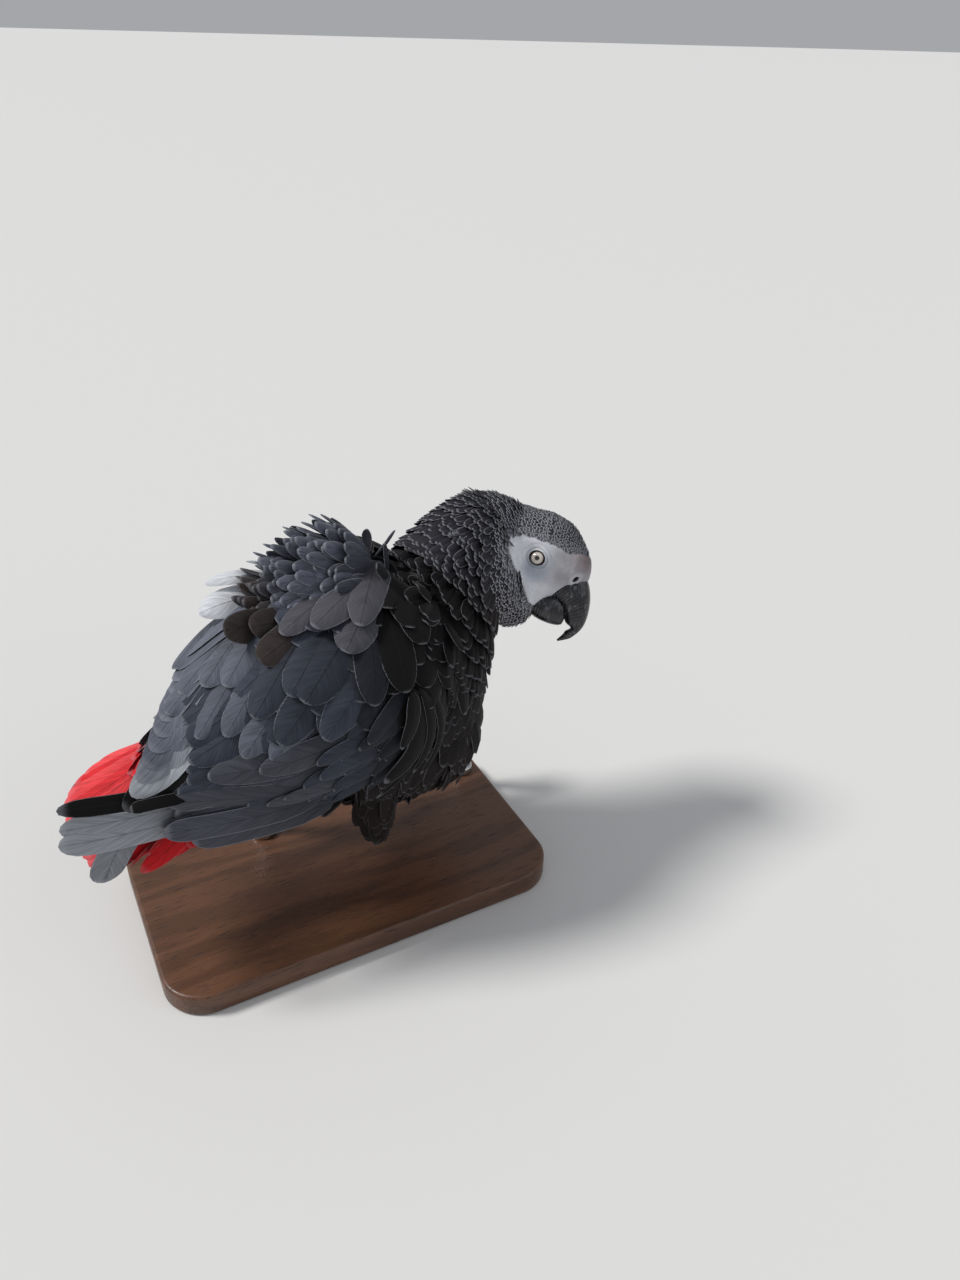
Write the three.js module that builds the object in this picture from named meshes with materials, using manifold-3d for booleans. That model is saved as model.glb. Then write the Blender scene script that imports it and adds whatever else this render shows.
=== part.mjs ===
// A grey parrot, life size and still, gripping a cut length of round bar on a plain display stand.
// Millimetres, +Z up, +X the way the body faces, +Y the bird's left.
// The origin is under the middle of the stand's base.
// The solids of the bird reach to the tips of its ruffled feathers.
import * as THREE from "three";
import { mergeVertices } from "three/addons/utils/BufferGeometryUtils.js";
import Module from "manifold-3d";

const wasm = await Module();
wasm.setup();

// ---- driving dimensions ----
const gap = 0.3; // between pieces that touch
const far = 400; // size of the blocks that part the body

// Middle line of the trunk and neck, and how far the feathers reach to the side, up and down from it.
const trunkLine = [
  { at: [-92, 0, 119], side: 13, up: 9, down: 10 }, // root of the tail
  { at: [-66, 0, 126], side: 30, up: 26, down: 27 }, // rump
  { at: [-38, 0, 134], side: 45, up: 36, down: 42 }, // loin
  { at: [-16, 0, 140], side: 54, up: 56, down: 56 }, // behind the ruffled back
  { at: [10, 0, 143], side: 58, up: 86, down: 73 }, // shoulders
  { at: [34, 0, 144], side: 57, up: 88, down: 86 }, // belly
  { at: [56, 0, 149], side: 46, up: 76, down: 87 }, // breast
  { at: [72, 2, 163], side: 38, up: 54, down: 44 }, // collar
];
const neckLine = [
  { at: [58, 0, 156], side: 43, up: 54, down: 40 },
  { at: [78, 3, 173], side: 38, up: 44, down: 33 },
  { at: [95, 6, 184], side: 35, up: 44, down: 36 },
  { at: [109, 7, 188], side: 30, up: 38, down: 36 },
  { at: [119, 5, 190], side: 21, up: 29, down: 27 },
  { at: [127, 1, 190], side: 8, up: 12, down: 10 },
];
const neckCut = { at: [80, 0, 174], lean: 38 }; // degrees that the cut leans back from upright

// Head: its own frame has its origin between the eyes, forward to the bill, side to the bird's left.
const headPlace = [127.5, -4.7, 188.5];
const headTurn = 40; // degrees to the bird's right
const headNod = 10; // degrees, bill down
const headTilt = 25; // degrees, right eye up
const headSections = [
  { forward: -38, side: 14, up: 17, down: 18 },
  { forward: -33, side: 24, up: 27, down: 29 },
  { forward: -26, side: 29, up: 31, down: 36 },
  { forward: -16, side: 26, up: 29.8, down: 37 },
  { forward: -6, side: 21, up: 27.8, down: 36 },
  { forward: 2, side: 17.8, up: 26, down: 33 },
  { forward: 9, side: 15.3, up: 23, down: 23 },
  { forward: 16, side: 12.8, up: 19.2, down: 18 },
  { forward: 23, side: 10.2, up: 12.8, down: 13 },
  { forward: 28, side: 7.6, up: 5, down: 8.5 },
  { forward: 30.3, side: 4, up: -1, down: 5.6 },
];
const headCut = -20; // forward place of the cut between head and neck
const eye = { radius: 5.5, side: 13.4 };

// Bill, in the head's frame: each section runs from its outer edge to its inner edge.
const maxillaSections = [
  { outer: [26, -2], inner: [13, -20], half: 8.6 },
  { outer: [31.4, -7], inner: [18, -22], half: 8.2 },
  { outer: [34.6, -16], inner: [21, -26], half: 7.3 },
  { outer: [35.6, -25], inner: [24, -30.5], half: 6 },
  { outer: [34.3, -32.5], inner: [25.6, -34], half: 4.4 },
  { outer: [30, -38.8], inner: [25.4, -36.6], half: 2.7 },
  { outer: [23, -42.8], inner: [22.4, -41.6], half: 0.7 },
];
const mandibleSections = [
  { outer: [3, -32], inner: [3, -22], half: 8.6 },
  { outer: [9, -34], inner: [9, -19], half: 9 },
  { outer: [15, -34.8], inner: [16, -17], half: 8.4 },
  { outer: [20, -34.4], inner: [22, -20], half: 6.6 },
  { outer: [22.8, -33], inner: [23.6, -26], half: 4.6 },
];

// Folded wing: arcs round the body, each from its upper edge to its lower edge.
// from and to are degrees down from straight up; the rear edge slants back by slant.
const wingArcs = [
  { x: 54, middle: 146, side: 50, rise: 52, from: 60, to: 94 },
  { x: 34, middle: 144, side: 61, rise: 62, from: 38, to: 114 },
  { x: 6, middle: 142, side: 65, rise: 66, from: 30, to: 125 },
  { x: -28, middle: 138, side: 62, rise: 63, from: 22, to: 130 },
  { x: -56, middle: 133, side: 53, rise: 55, from: 10, to: 132 },
  { x: -76, middle: 128, side: 45, rise: 47, from: 2, to: 132 },
];
const wingThickness = { front: 6, rear: 2.4 };
// slant: the lower rear corner lies this far behind the upper one; tuck draws the rear in to the body.
// The long flight feathers reach back past the rear edge: the left ones under the raised side of the tail.
const wings = {
  right: {
    side: -1, tuck: 0, slant: 36,
    quills: [
      { at: [-36, -53, 108], high: 5, thick: 2.6 },
      { at: [-66, -48, 105], high: 11, thick: 3 },
      { at: [-100, -44, 111], high: 13, thick: 3 },
      { at: [-127, -40, 116], high: 12, thick: 2.4 },
      { at: [-149, -33, 118], high: 8, thick: 1.6 },
    ],
  },
  left: {
    side: 1, tuck: 0.5, slant: 12,
    quills: [
      { at: [-58, 29, 116], high: 8, thick: 3 },
      { at: [-90, 29, 101], high: 8, thick: 3 },
      { at: [-115, 30, 93], high: 6, thick: 2.4 },
      { at: [-133, 30, 89], high: 4, thick: 1.6 },
    ],
  },
};
const looseFeather = [ // hangs from the right wing's tip
  { at: [-100, -46, 106], high: 7, thick: 2 },
  { at: [-120, -46, 97], high: 7, thick: 1.4 },
  { at: [-136, -45, 86], high: 4, thick: 1 },
];

// Tail: a short fan, rounded at the end, with its right side lower, and the soft feathers under its root.
const tail = {
  root: [-80, 0, 120], length: 64, half: 13, spread: 20, turn: 4, slope: 20, roll: 18, thick: 3, crown: 4,
};
const underTail = [
  { at: [-62, 0, 106], side: 20, up: 8, down: 10 },
  { at: [-94, -11, 93], side: 17, up: 7, down: 11 },
  { at: [-120, -22, 80], side: 7, up: 3, down: 5 },
];

// Legs: a lobe of long feathers round each thigh, and a scaly foot on the perch.
const thighs = {
  right: [
    { at: [18, -24, 96], side: 18, up: 16, down: 16 },
    { at: [17, -28, 70], side: 15, up: 12, down: 12 },
    { at: [17, -31, 51], side: 8, up: 6, down: 6 },
  ],
  left: [
    { at: [44, 6, 92], side: 16, up: 15, down: 15 },
    { at: [46, 10, 68], side: 12, up: 12, down: 12 },
    { at: [46, 12, 55], side: 7, up: 7, down: 7 },
  ],
};
const perch = { radius: 3, y: 38, z: 73, from: -46, to: 114 };
const feet = { lean: -32, right: 22, left: 64, palm: 4.4, shank: 3.5, shankLength: 24, clear: 11 };
const toes = [
  { from: -2.6, to: -4.8, turn: 205, radius: 3.1 },
  { from: 2.6, to: 5.2, turn: 178, radius: 2.9 },
  { from: -3.2, to: -11.4, turn: -138, radius: 2.9 },
  { from: 3.3, to: 11.6, turn: -118, radius: 2.7 },
];
const claw = { part: 4, turn: 74, radius: 1.9, point: 0.35, lift: 1.6 }; // part: degrees between toe and claw

// Stand
const base = { length: 230, width: 136, height: 14, corner: 24, bevel: 2 };
const rod = { radius: 3.5, collar: 8, collarHeight: 5, ball: 6.5, inset: 12 };

// ---- shapes ----
const degrees = THREE.MathUtils.degToRad;
const toVector = (point) => new THREE.Vector3(...point);
const up = new THREE.Vector3(0, 0, 1);
const left = new THREE.Vector3(0, 1, 0);

function bodyOf(positions, index) {
  const geometry = new THREE.BufferGeometry();
  geometry.setAttribute("position", new THREE.Float32BufferAttribute(positions, 3));
  geometry.setIndex(index);
  return geometry;
}

// Six times the space inside a closed geometry, negative where its faces point in.
function enclosed(geometry) {
  const place = geometry.attributes.position;
  const index = geometry.index.array;
  const corner = [new THREE.Vector3(), new THREE.Vector3(), new THREE.Vector3()];
  let sum = 0;
  for (let at = 0; at < index.length; at += 3) {
    corner.forEach((point, k) => point.fromBufferAttribute(place, index[at + k]));
    sum += corner[0].dot(corner[1].cross(corner[2]));
  }
  return sum;
}

function facedOut(geometry) {
  if (enclosed(geometry) < 0) {
    const index = Array.from(geometry.index.array);
    for (let at = 0; at < index.length; at += 3) {
      [index[at + 1], index[at + 2]] = [index[at + 2], index[at + 1]];
    }
    geometry.setIndex(index);
  }
  return geometry;
}

// A skin over rings of points, each end closed by a fan about that ring's middle.
function loft(rings) {
  const count = rings[0].length;
  const positions = rings.flat().flatMap((point) => point.toArray());
  const index = [];
  for (let row = 0; row + 1 < rings.length; row += 1) {
    for (let step = 0; step < count; step += 1) {
      const a = row * count + step;
      const b = row * count + ((step + 1) % count);
      index.push(a, b, b + count, a, b + count, a + count);
    }
  }
  for (const row of [0, rings.length - 1]) {
    const middle = new THREE.Vector3();
    rings[row].forEach((point) => middle.addScaledVector(point, 1 / count));
    const centre = positions.length / 3;
    positions.push(...middle.toArray());
    for (let step = 0; step < count; step += 1) {
      const pair = [row * count + step, row * count + ((step + 1) % count)];
      index.push(centre, ...(row === 0 ? pair.reverse() : pair));
    }
  }
  return facedOut(bodyOf(positions, index));
}

// An egg-shaped ring: half an ellipse above its middle and half an ellipse below.
function eggRing(middle, across, upward, size, count) {
  return Array.from({ length: count }, (_, step) => {
    const angle = (2 * Math.PI * step) / count;
    const rise = Math.sin(angle) > 0 ? size.up : size.down;
    return middle.clone()
      .addScaledVector(across, Math.cos(angle) * size.side)
      .addScaledVector(upward, Math.sin(angle) * rise);
  });
}

function smoothed(before, from, to, after, t) {
  const slopeIn = (to - before) / 2;
  const slopeOut = (after - from) / 2;
  const cubic = (2 * (from - to) + slopeIn + slopeOut) * t ** 3;
  const square = (3 * (to - from) - 2 * slopeIn - slopeOut) * t ** 2;
  return cubic + square + slopeIn * t + from;
}

// More rows between stations, with every named size on a smooth curve through them.
function between(stations, steps) {
  const last = stations.length - 1;
  const rows = [];
  for (let step = 0; step <= last * steps; step += 1) {
    const low = Math.min(Math.floor(step / steps), last - 1);
    const t = step / steps - low;
    const pick = (k) => stations[Math.min(Math.max(k, 0), last)];
    const near = [-1, 0, 1, 2].map((k) => pick(low + k));
    const blend = (read) => smoothed(...near.map(read), t);
    const row = {};
    for (const [name, value] of Object.entries(stations[0])) {
      row[name] = Array.isArray(value)
        ? value.map((_, k) => blend((station) => station[name][k]))
        : blend((station) => station[name]);
    }
    rows.push(row);
  }
  return rows;
}

// Egg-shaped rings square to the line that they follow.
function lineLoft(stations, steps, count, extra = 0) {
  const rows = between(stations, steps);
  return loft(rows.map((row, k) => {
    const ahead = toVector(rows[Math.min(k + 1, rows.length - 1)].at);
    const along = ahead.sub(toVector(rows[Math.max(k - 1, 0)].at)).normalize();
    const across = up.clone().cross(along).normalize();
    const size = { side: row.side + extra, up: row.up + extra, down: row.down + extra };
    return eggRing(toVector(row.at), across, along.clone().cross(across), size, count);
  }));
}

// ---- joining and cutting ----
function toSolid(geometry) {
  const bare = new THREE.BufferGeometry();
  bare.setAttribute("position", geometry.attributes.position);
  bare.setIndex(geometry.index);
  const merged = mergeVertices(bare, 1e-4);
  return new wasm.Manifold(new wasm.Mesh({
    numProp: 3,
    vertProperties: new Float32Array(merged.attributes.position.array),
    triVerts: new Uint32Array(merged.index.array),
  }));
}

// The largest piece of a solid, as a cut can leave crumbs too small to see.
function toGeometry(solid) {
  const whole = solid.decompose().reduce((best, piece) => (piece.volume() > best.volume() ? piece : best));
  const mesh = whole.getMesh();
  return bodyOf(Array.from(mesh.vertProperties), Array.from(mesh.triVerts));
}

const joined = (...geometries) => geometries.map(toSolid).reduce((whole, next) => whole.add(next));

// A block that fills everything on one side of a plane.
function halfSpace(point, normal, offset) {
  const block = new THREE.BoxGeometry(far, far, far).translate(0, 0, far / 2 + offset);
  const turn = new THREE.Quaternion().setFromUnitVectors(up, normal.clone().normalize());
  return toSolid(block.applyQuaternion(turn).translate(...point));
}

// ---- head ----
const headFrame = new THREE.Matrix4().makeTranslation(...headPlace)
  .multiply(new THREE.Matrix4().makeRotationZ(degrees(-headTurn)))
  .multiply(new THREE.Matrix4().makeRotationY(degrees(headNod)))
  .multiply(new THREE.Matrix4().makeRotationX(degrees(-headTilt)));

function headLoft() {
  const rings = headSections.map((s) => eggRing(new THREE.Vector3(s.forward, 0, 0), left, up, s, 20));
  return loft(rings).applyMatrix4(headFrame);
}

// Flattened rings from an outer edge to an inner edge.
function billLoft(sections, extra = 0) {
  return loft(between(sections, 2).map((s) => {
    const outer = new THREE.Vector3(s.outer[0], 0, s.outer[1]);
    const inner = new THREE.Vector3(s.inner[0], 0, s.inner[1]);
    const upward = outer.clone().sub(inner);
    const reach = upward.length() / 2 + extra;
    const size = { side: s.half + extra, up: reach, down: reach };
    return eggRing(outer.add(inner).divideScalar(2), left, upward.normalize(), size, 10);
  })).applyMatrix4(headFrame);
}

function eyeBall(side, extra = 0) {
  return new THREE.SphereGeometry(eye.radius + extra, 12, 8)
    .translate(0, side * eye.side, 0)
    .applyMatrix4(headFrame);
}

// ---- wings and tail ----
// A shell between an inner and an outer surface, closed round its rim, over rows of points.
function shell(rows) {
  const rings = rows.map((row) => [...row.map((pair) => pair[1]), ...row.map((pair) => pair[0]).reverse()]);
  return loft(rings);
}

// Inward and outward thicken it, and rim adds a margin past its edges.
function wingShell(wing, inward = 0, outward = 0, rim = 0) {
  const across = 8;
  const arcs = between(wingArcs, 2);
  const last = arcs.length - 1;
  const steps = Array.from({ length: across + 1 }, (_, step) => [step / across, 0]);
  if (rim > 0) {
    steps.unshift([0, -rim]);
    steps.push([1, rim]);
  }
  const rowAt = (k, shift) => {
    const arc = arcs[k];
    const back = k / last;
    const thick = wingThickness.front + (wingThickness.rear - wingThickness.front) * back;
    const draw = 1 - wing.tuck * back ** 2;
    return steps.map(([t, margin]) => {
      const angle = degrees(arc.from + (arc.to - arc.from) * t + margin);
      const point = (reach) => new THREE.Vector3(
        arc.x + shift - wing.slant * t * back ** 2,
        wing.side * (arc.side * draw + reach) * Math.sin(angle),
        arc.middle + (arc.rise * draw + reach) * Math.cos(angle),
      );
      return [point(-thick - inward), point(outward)];
    });
  };
  const rows = arcs.map((_, k) => rowAt(k, 0));
  return shell(rim > 0 ? [rowAt(0, rim), ...rows, rowAt(last, -rim)] : rows);
}

// Upright flattened rings along a line of feathers.
function quillLoft(stations, extra = 0) {
  return loft(between(stations, 2).map((s) => {
    const size = { side: s.thick + extra, up: s.high + extra, down: s.high + extra };
    return eggRing(toVector(s.at), left, up, size, 10);
  }));
}

// The fan turns about its root: s runs across it from right to left, t from root to tip.
function tailFan(extra = 0) {
  const rowCount = 5;
  const across = 10;
  const slope = degrees(tail.slope);
  const roll = degrees(tail.roll);
  const rows = [];
  for (let row = 0; row <= rowCount; row += 1) {
    const t = row / rowCount;
    rows.push(Array.from({ length: across + 1 }, (_, step) => {
      const s = (2 * step) / across - 1;
      const turn = degrees(tail.spread * s - tail.turn);
      const reach = tail.length * t * (1 - 0.1 * s * s);
      const run = reach * Math.cos(turn);
      const side = tail.half * s + reach * Math.sin(turn);
      const middle = new THREE.Vector3(
        tail.root[0] - run * Math.cos(slope),
        side * Math.cos(roll),
        tail.root[2] - run * Math.sin(slope) + tail.crown * (1 - s * s) + side * Math.sin(roll),
      );
      const half = (tail.thick * (1 - 0.6 * t)) / 2 + extra;
      return [middle.clone().addScaledVector(up, -half), middle.clone().addScaledVector(up, half)];
    }));
  }
  return shell(rows);
}

// ---- feet ----
// A point round the perch: turn is measured from straight up towards the bird's left.
function aroundPerch(x, turn, reach) {
  const angle = degrees(turn);
  return new THREE.Vector3(x, perch.y + reach * Math.sin(angle), perch.z + reach * Math.cos(angle));
}

// A tapering tube that runs round the perch, just clear of it.
function wrap(fromX, toX, fromTurn, toTurn, fromRadius, toRadius, lift, steps, count) {
  const xAxis = new THREE.Vector3(1, 0, 0);
  const rings = [];
  for (let step = 0; step <= steps; step += 1) {
    const t = step / steps;
    const radius = fromRadius + (toRadius - fromRadius) * t;
    const turn = fromTurn + (toTurn - fromTurn) * t;
    const middle = aroundPerch(fromX + (toX - fromX) * t, turn, perch.radius + gap + radius + lift * t * t);
    const outward = aroundPerch(0, turn, 1).sub(aroundPerch(0, turn, 0));
    rings.push(eggRing(middle, xAxis, outward, { side: radius, up: radius, down: radius }, count));
  }
  return loft(rings);
}

const toeEnd = 0.72; // a toe's radius at its claw, as a share of its radius at the palm

function toeTube(footX, toe) {
  return wrap(footX + toe.from, footX + toe.to, feet.lean, feet.lean + toe.turn,
    toe.radius, toe.radius * toeEnd, 0, 5, 7);
}

function clawHorn(footX, toe) {
  const way = Math.sign(toe.turn);
  const start = feet.lean + toe.turn + way * claw.part;
  const end = start + way * claw.turn;
  return wrap(footX + toe.to, footX + toe.to, start, end, claw.radius, claw.point, claw.lift, 4, 6);
}

const palmReach = perch.radius + gap + feet.palm;

// The shank rises from the palm into the belly's feathers.
function shankTube(footX, radiusAt) {
  const xAxis = new THREE.Vector3(1, 0, 0);
  const outward = aroundPerch(0, feet.lean + 90, 1).sub(aroundPerch(0, 0, 0));
  return loft([0, 0.5, 1].map((t) => {
    const middle = aroundPerch(footX, feet.lean, palmReach + feet.shankLength * t);
    const radius = radiusAt(t);
    return eggRing(middle, xAxis, outward, { side: radius, up: radius, down: radius }, 10);
  }));
}

function legSolid(footX) {
  const palm = new THREE.SphereGeometry(feet.palm, 10, 6)
    .translate(...aroundPerch(footX, feet.lean, palmReach).toArray());
  const shank = shankTube(footX, (t) => feet.shank * (1 + 0.15 * t));
  return joined(palm, shank, ...toes.map((toe) => toeTube(footX, toe)));
}

// The hollow among the feathers that the shank and the toes stand in.
function legRoom(footX) {
  const toeRoom = new THREE.CylinderGeometry(feet.clear, feet.clear, 2 * feet.clear + 8, 14)
    .rotateZ(Math.PI / 2)
    .translate(footX, perch.y, perch.z);
  return joined(shankTube(footX, (t) => feet.palm + 3 - 2.4 * t), toeRoom);
}

// ---- stand ----
function baseBoard() {
  const [x, y, r] = [base.length / 2 - base.bevel, base.width / 2 - base.bevel, base.corner];
  const outline = new THREE.Shape();
  outline.moveTo(x, r - y);
  outline.absarc(x - r, y - r, r, 0, Math.PI / 2);
  outline.absarc(r - x, y - r, r, Math.PI / 2, Math.PI);
  outline.absarc(r - x, r - y, r, Math.PI, Math.PI * 1.5);
  outline.absarc(x - r, r - y, r, Math.PI * 1.5, Math.PI * 2);
  return new THREE.ExtrudeGeometry(outline, {
    depth: base.height - 2 * base.bevel,
    bevelThickness: base.bevel,
    bevelSize: base.bevel,
    bevelSegments: 2,
    curveSegments: 4,
  }).translate(0, 0, base.bevel);
}

function perchBar(extra = 0) {
  const length = perch.to - perch.from - 2 * perch.radius;
  return new THREE.CapsuleGeometry(perch.radius + extra, length, 3, 12)
    .rotateZ(Math.PI / 2)
    .translate((perch.from + perch.to) / 2, perch.y, perch.z);
}

// A turned rod with a collar at its foot and a ball at its head, through which the perch passes.
function rodAt(x) {
  const foot = base.height + gap;
  const rise = perch.z - foot;
  const profile = [
    [0, 0], [rod.collar, 0], [rod.collar, rod.collarHeight - 1],
    [rod.collar - 1, rod.collarHeight], [rod.radius, rod.collarHeight],
  ].map(([r, z]) => new THREE.Vector2(r, z));
  const neckAngle = Math.asin(rod.radius / rod.ball);
  const steps = 6;
  for (let step = 0; step <= steps; step += 1) {
    const angle = neckAngle + ((Math.PI - neckAngle) * step) / steps;
    const reach = step === steps ? 0 : rod.ball * Math.sin(angle);
    profile.push(new THREE.Vector2(reach, rise - rod.ball * Math.cos(angle)));
  }
  const turned = new THREE.LatheGeometry(profile, 10).rotateX(Math.PI / 2).translate(x, perch.y, foot);
  return toGeometry(toSolid(facedOut(turned)).subtract(toSolid(perchBar(gap))));
}

// ---- the whole ----
const group = new THREE.Group();

function add(name, shape, colour, roughness, metalness = 0) {
  const geometry = shape.isBufferGeometry ? shape : toGeometry(shape);
  const material = new THREE.MeshStandardMaterial({ color: colour, roughness, metalness });
  const mesh = new THREE.Mesh(geometry, material);
  mesh.name = name;
  group.add(mesh);
}

const forward = new THREE.Vector3(1, 0, 0).transformDirection(headFrame);
const neckWay = new THREE.Vector3(Math.cos(degrees(neckCut.lean)), 0, Math.sin(degrees(neckCut.lean)));
const headEdge = new THREE.Vector3(headCut, 0, 0).applyMatrix4(headFrame).toArray();
const bird = joined(lineLoft(trunkLine, 2, 22), lineLoft(neckLine, 2, 20), headLoft());
const afterNeck = halfSpace(neckCut.at, neckWay, gap / 2);
const beforeNeck = halfSpace(neckCut.at, neckWay.clone().negate(), gap / 2);
const afterHead = halfSpace(headEdge, forward, gap / 2);
const beforeHead = halfSpace(headEdge, forward.clone().negate(), gap / 2);

const wingRoom = 24; // cleared outside each wing
let trunk = bird.intersect(beforeNeck)
  .subtract(toSolid(tailFan(gap)))
  .subtract(toSolid(lineLoft(underTail, 2, 12, gap)));
for (const [name, wing] of Object.entries(wings)) {
  trunk = trunk
    .subtract(toSolid(wingShell(wing, gap, wingRoom, 1)))
    .subtract(toSolid(quillLoft(wing.quills, gap)))
    .subtract(toSolid(lineLoft(thighs[name], 2, 12, gap)))
    .subtract(legRoom(feet[name]));
}
add("trunk", trunk, 0x45474f, 0.85);
add("neck", bird.intersect(afterNeck).intersect(beforeHead), 0x3a3c44, 0.85);

const upperBill = toSolid(billLoft(maxillaSections));
const lowerBill = toSolid(billLoft(mandibleSections)).subtract(toSolid(billLoft(maxillaSections, gap)));
const head = bird.intersect(afterNeck).intersect(afterHead)
  .subtract(toSolid(billLoft(maxillaSections, gap)))
  .subtract(toSolid(billLoft(mandibleSections, gap)))
  .subtract(toSolid(eyeBall(1, gap)))
  .subtract(toSolid(eyeBall(-1, gap)));
add("head", head, 0x8a8d96, 0.8);
add("bill_upper", upperBill, 0x1d1e22, 0.35);
add("bill_lower", lowerBill, 0x1d1e22, 0.4);
add("eye_right", eyeBall(-1), 0xd8cfa8, 0.1);
add("eye_left", eyeBall(1), 0xd8cfa8, 0.1);

add("tail", tailFan(), 0xc4232f, 0.7);
add("tail_under", toSolid(lineLoft(underTail, 2, 12)).subtract(toSolid(tailFan(gap))), 0xb01c28, 0.8);

for (const [name, wing] of Object.entries(wings)) {
  const feathers = [wingShell(wing), quillLoft(wing.quills)];
  if (name === "right") {
    feathers.push(quillLoft(looseFeather));
  }
  add(`wing_${name}`, joined(...feathers), 0x4b4e58, 0.8);
  add(`thigh_${name}`, toSolid(lineLoft(thighs[name], 2, 12)).subtract(legRoom(feet[name])), 0x2d2e34, 0.9);
  add(`leg_${name}`, legSolid(feet[name]), 0x5a5a5e, 0.6);
  toes.forEach((toe, k) => add(`claw_${name}_${k + 1}`, clawHorn(feet[name], toe), 0x17181b, 0.35));
}

add("perch", perchBar(), 0x55595c, 0.5, 0.6);
add("stand_rod_rear", rodAt(perch.from + rod.inset), 0xa9adb0, 0.3, 1);
add("stand_rod_front", rodAt(perch.to - rod.inset), 0xa9adb0, 0.3, 1);
add("stand_base", baseBoard(), 0x3b2a20, 0.5);

export default group;
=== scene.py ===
import math
import bmesh
import bpy
import numpy as np
from mathutils import Matrix, Vector


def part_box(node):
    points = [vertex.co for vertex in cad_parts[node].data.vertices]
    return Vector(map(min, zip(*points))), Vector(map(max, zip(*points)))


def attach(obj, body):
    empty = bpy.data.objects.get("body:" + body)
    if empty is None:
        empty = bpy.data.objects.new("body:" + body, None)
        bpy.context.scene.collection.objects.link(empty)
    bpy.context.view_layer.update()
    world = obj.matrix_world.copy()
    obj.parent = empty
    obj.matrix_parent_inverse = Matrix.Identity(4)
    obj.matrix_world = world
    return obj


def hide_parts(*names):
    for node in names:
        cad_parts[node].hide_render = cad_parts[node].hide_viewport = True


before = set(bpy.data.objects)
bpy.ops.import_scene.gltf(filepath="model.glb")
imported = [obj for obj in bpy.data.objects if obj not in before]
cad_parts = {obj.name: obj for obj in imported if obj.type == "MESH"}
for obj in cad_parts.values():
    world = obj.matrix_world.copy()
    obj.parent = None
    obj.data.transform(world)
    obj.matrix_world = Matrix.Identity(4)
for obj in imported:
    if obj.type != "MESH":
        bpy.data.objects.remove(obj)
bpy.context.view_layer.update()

# A grey parrot as a still, life-size model: one skin, its feathers as thin solid vanes, and its stand.
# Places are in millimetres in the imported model's frame: +X the way the body faces, +Y its left, +Z up.
mm = 0.001
rng = np.random.default_rng(21)


def lengthOf(v):
    return np.linalg.norm(v, axis=-1)


# The same vectors, each made one long.
def unit(v):
    return v / np.maximum(lengthOf(v)[..., None], 1e-9)


# 0 below low, 1 above high, with an easy curve between them; low may be the larger one.
def easy(x, low, high):
    t = np.clip((np.asarray(x, float) - low) / (high - low), 0, 1)
    return t * t * (3 - 2 * t)


# A smooth curve through the rows of values; u counts rows from 0.
def through(values, u):
    values = np.asarray(values, float)
    last = len(values) - 1
    u = np.clip(np.asarray(u, float), 0, last)
    low = np.minimum(u.astype(int), last - 1)
    t = (u - low)[..., None]
    before, start, end, after = [values[np.clip(low + k, 0, last)] for k in (-1, 0, 1, 2)]
    slopeIn, slopeOut = (end - before) / 2, (after - start) / 2
    cubic = (2 * (start - end) + slopeIn + slopeOut) * t ** 3
    square = (3 * (end - start) - 2 * slopeIn - slopeOut) * t ** 2
    return cubic + square + slopeIn * t + start


# A colour as it looks on a screen, 0 to 255, turned into the plain light value that shaders use.
def shade(*screen):
    return (np.array(screen, float) / 255) ** 2.2


# From low to high by t; each is a colour or a point.
def between(low, high, t):
    t = np.asarray(t)[..., None]
    return np.asarray(low) * (1 - t) + np.asarray(high) * t


# Quads and tris are rows of point numbers; points are in millimetres.
def makeMesh(name, points, quads, tris=None, sharp=None):
    tris = np.zeros((0, 3), int) if tris is None else tris
    mesh = bpy.data.meshes.new(name)
    mesh.vertices.add(len(points))
    mesh.vertices.foreach_set("co", (np.asarray(points, float) * mm).ravel())
    corners = np.concatenate([quads.ravel(), tris.ravel()]).astype(np.int32)
    starts = np.concatenate([np.arange(len(quads)) * 4, len(quads) * 4 + np.arange(len(tris)) * 3])
    mesh.loops.add(len(corners))
    mesh.loops.foreach_set("vertex_index", corners)
    mesh.polygons.add(len(starts))
    mesh.polygons.foreach_set("loop_start", starts.astype(np.int32))
    mesh.update(calc_edges=True)
    mesh.validate()
    mesh.shade_smooth()
    if sharp:
        mesh.set_sharp_from_angle(angle=math.radians(sharp))
    thing = bpy.data.objects.new(name, mesh)
    bpy.context.scene.collection.objects.link(thing)
    return thing


# Rings of points, each ring round the path, closed at both ends by a fan about its middle.
def closedRings(rings):
    rows, count = rings.shape[:2]
    points = np.concatenate([rings.reshape(-1, 3), rings[0].mean(0)[None], rings[-1].mean(0)[None]])
    step = np.arange(count)
    ahead = (step + 1) % count
    row = np.arange(rows - 1)[:, None] * count
    quads = np.stack([row + step, row + ahead, row + count + ahead, row + count + step], -1).reshape(-1, 4)
    low = np.stack([np.full(count, rows * count), ahead, step], -1)
    end = (rows - 1) * count
    high = np.stack([np.full(count, rows * count + 1), end + step, end + ahead], -1)
    tris = np.concatenate([low, high])
    corner = points[tris[:, 0]] * np.cross(points[tris[:, 1]], points[tris[:, 2]])
    halves = np.concatenate([quads[:, :3], quads[:, [0, 2, 3]]])
    side = points[halves[:, 0]] * np.cross(points[halves[:, 1]], points[halves[:, 2]])
    if corner.sum() + side.sum() < 0:  # turned inside out
        quads, tris = quads[:, ::-1], tris[:, ::-1]
    return points, quads, tris


# Several closed pieces as one mesh's points and faces.
def gather(pieces):
    points, quads, tris, first = [], [], [], 0
    for piecePoints, pieceQuads, pieceTris in pieces:
        points.append(piecePoints)
        quads.append(pieceQuads + first)
        tris.append(pieceTris + first)
        first += len(piecePoints)
    return np.concatenate(points), np.concatenate(quads), np.concatenate(tris)


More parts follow.
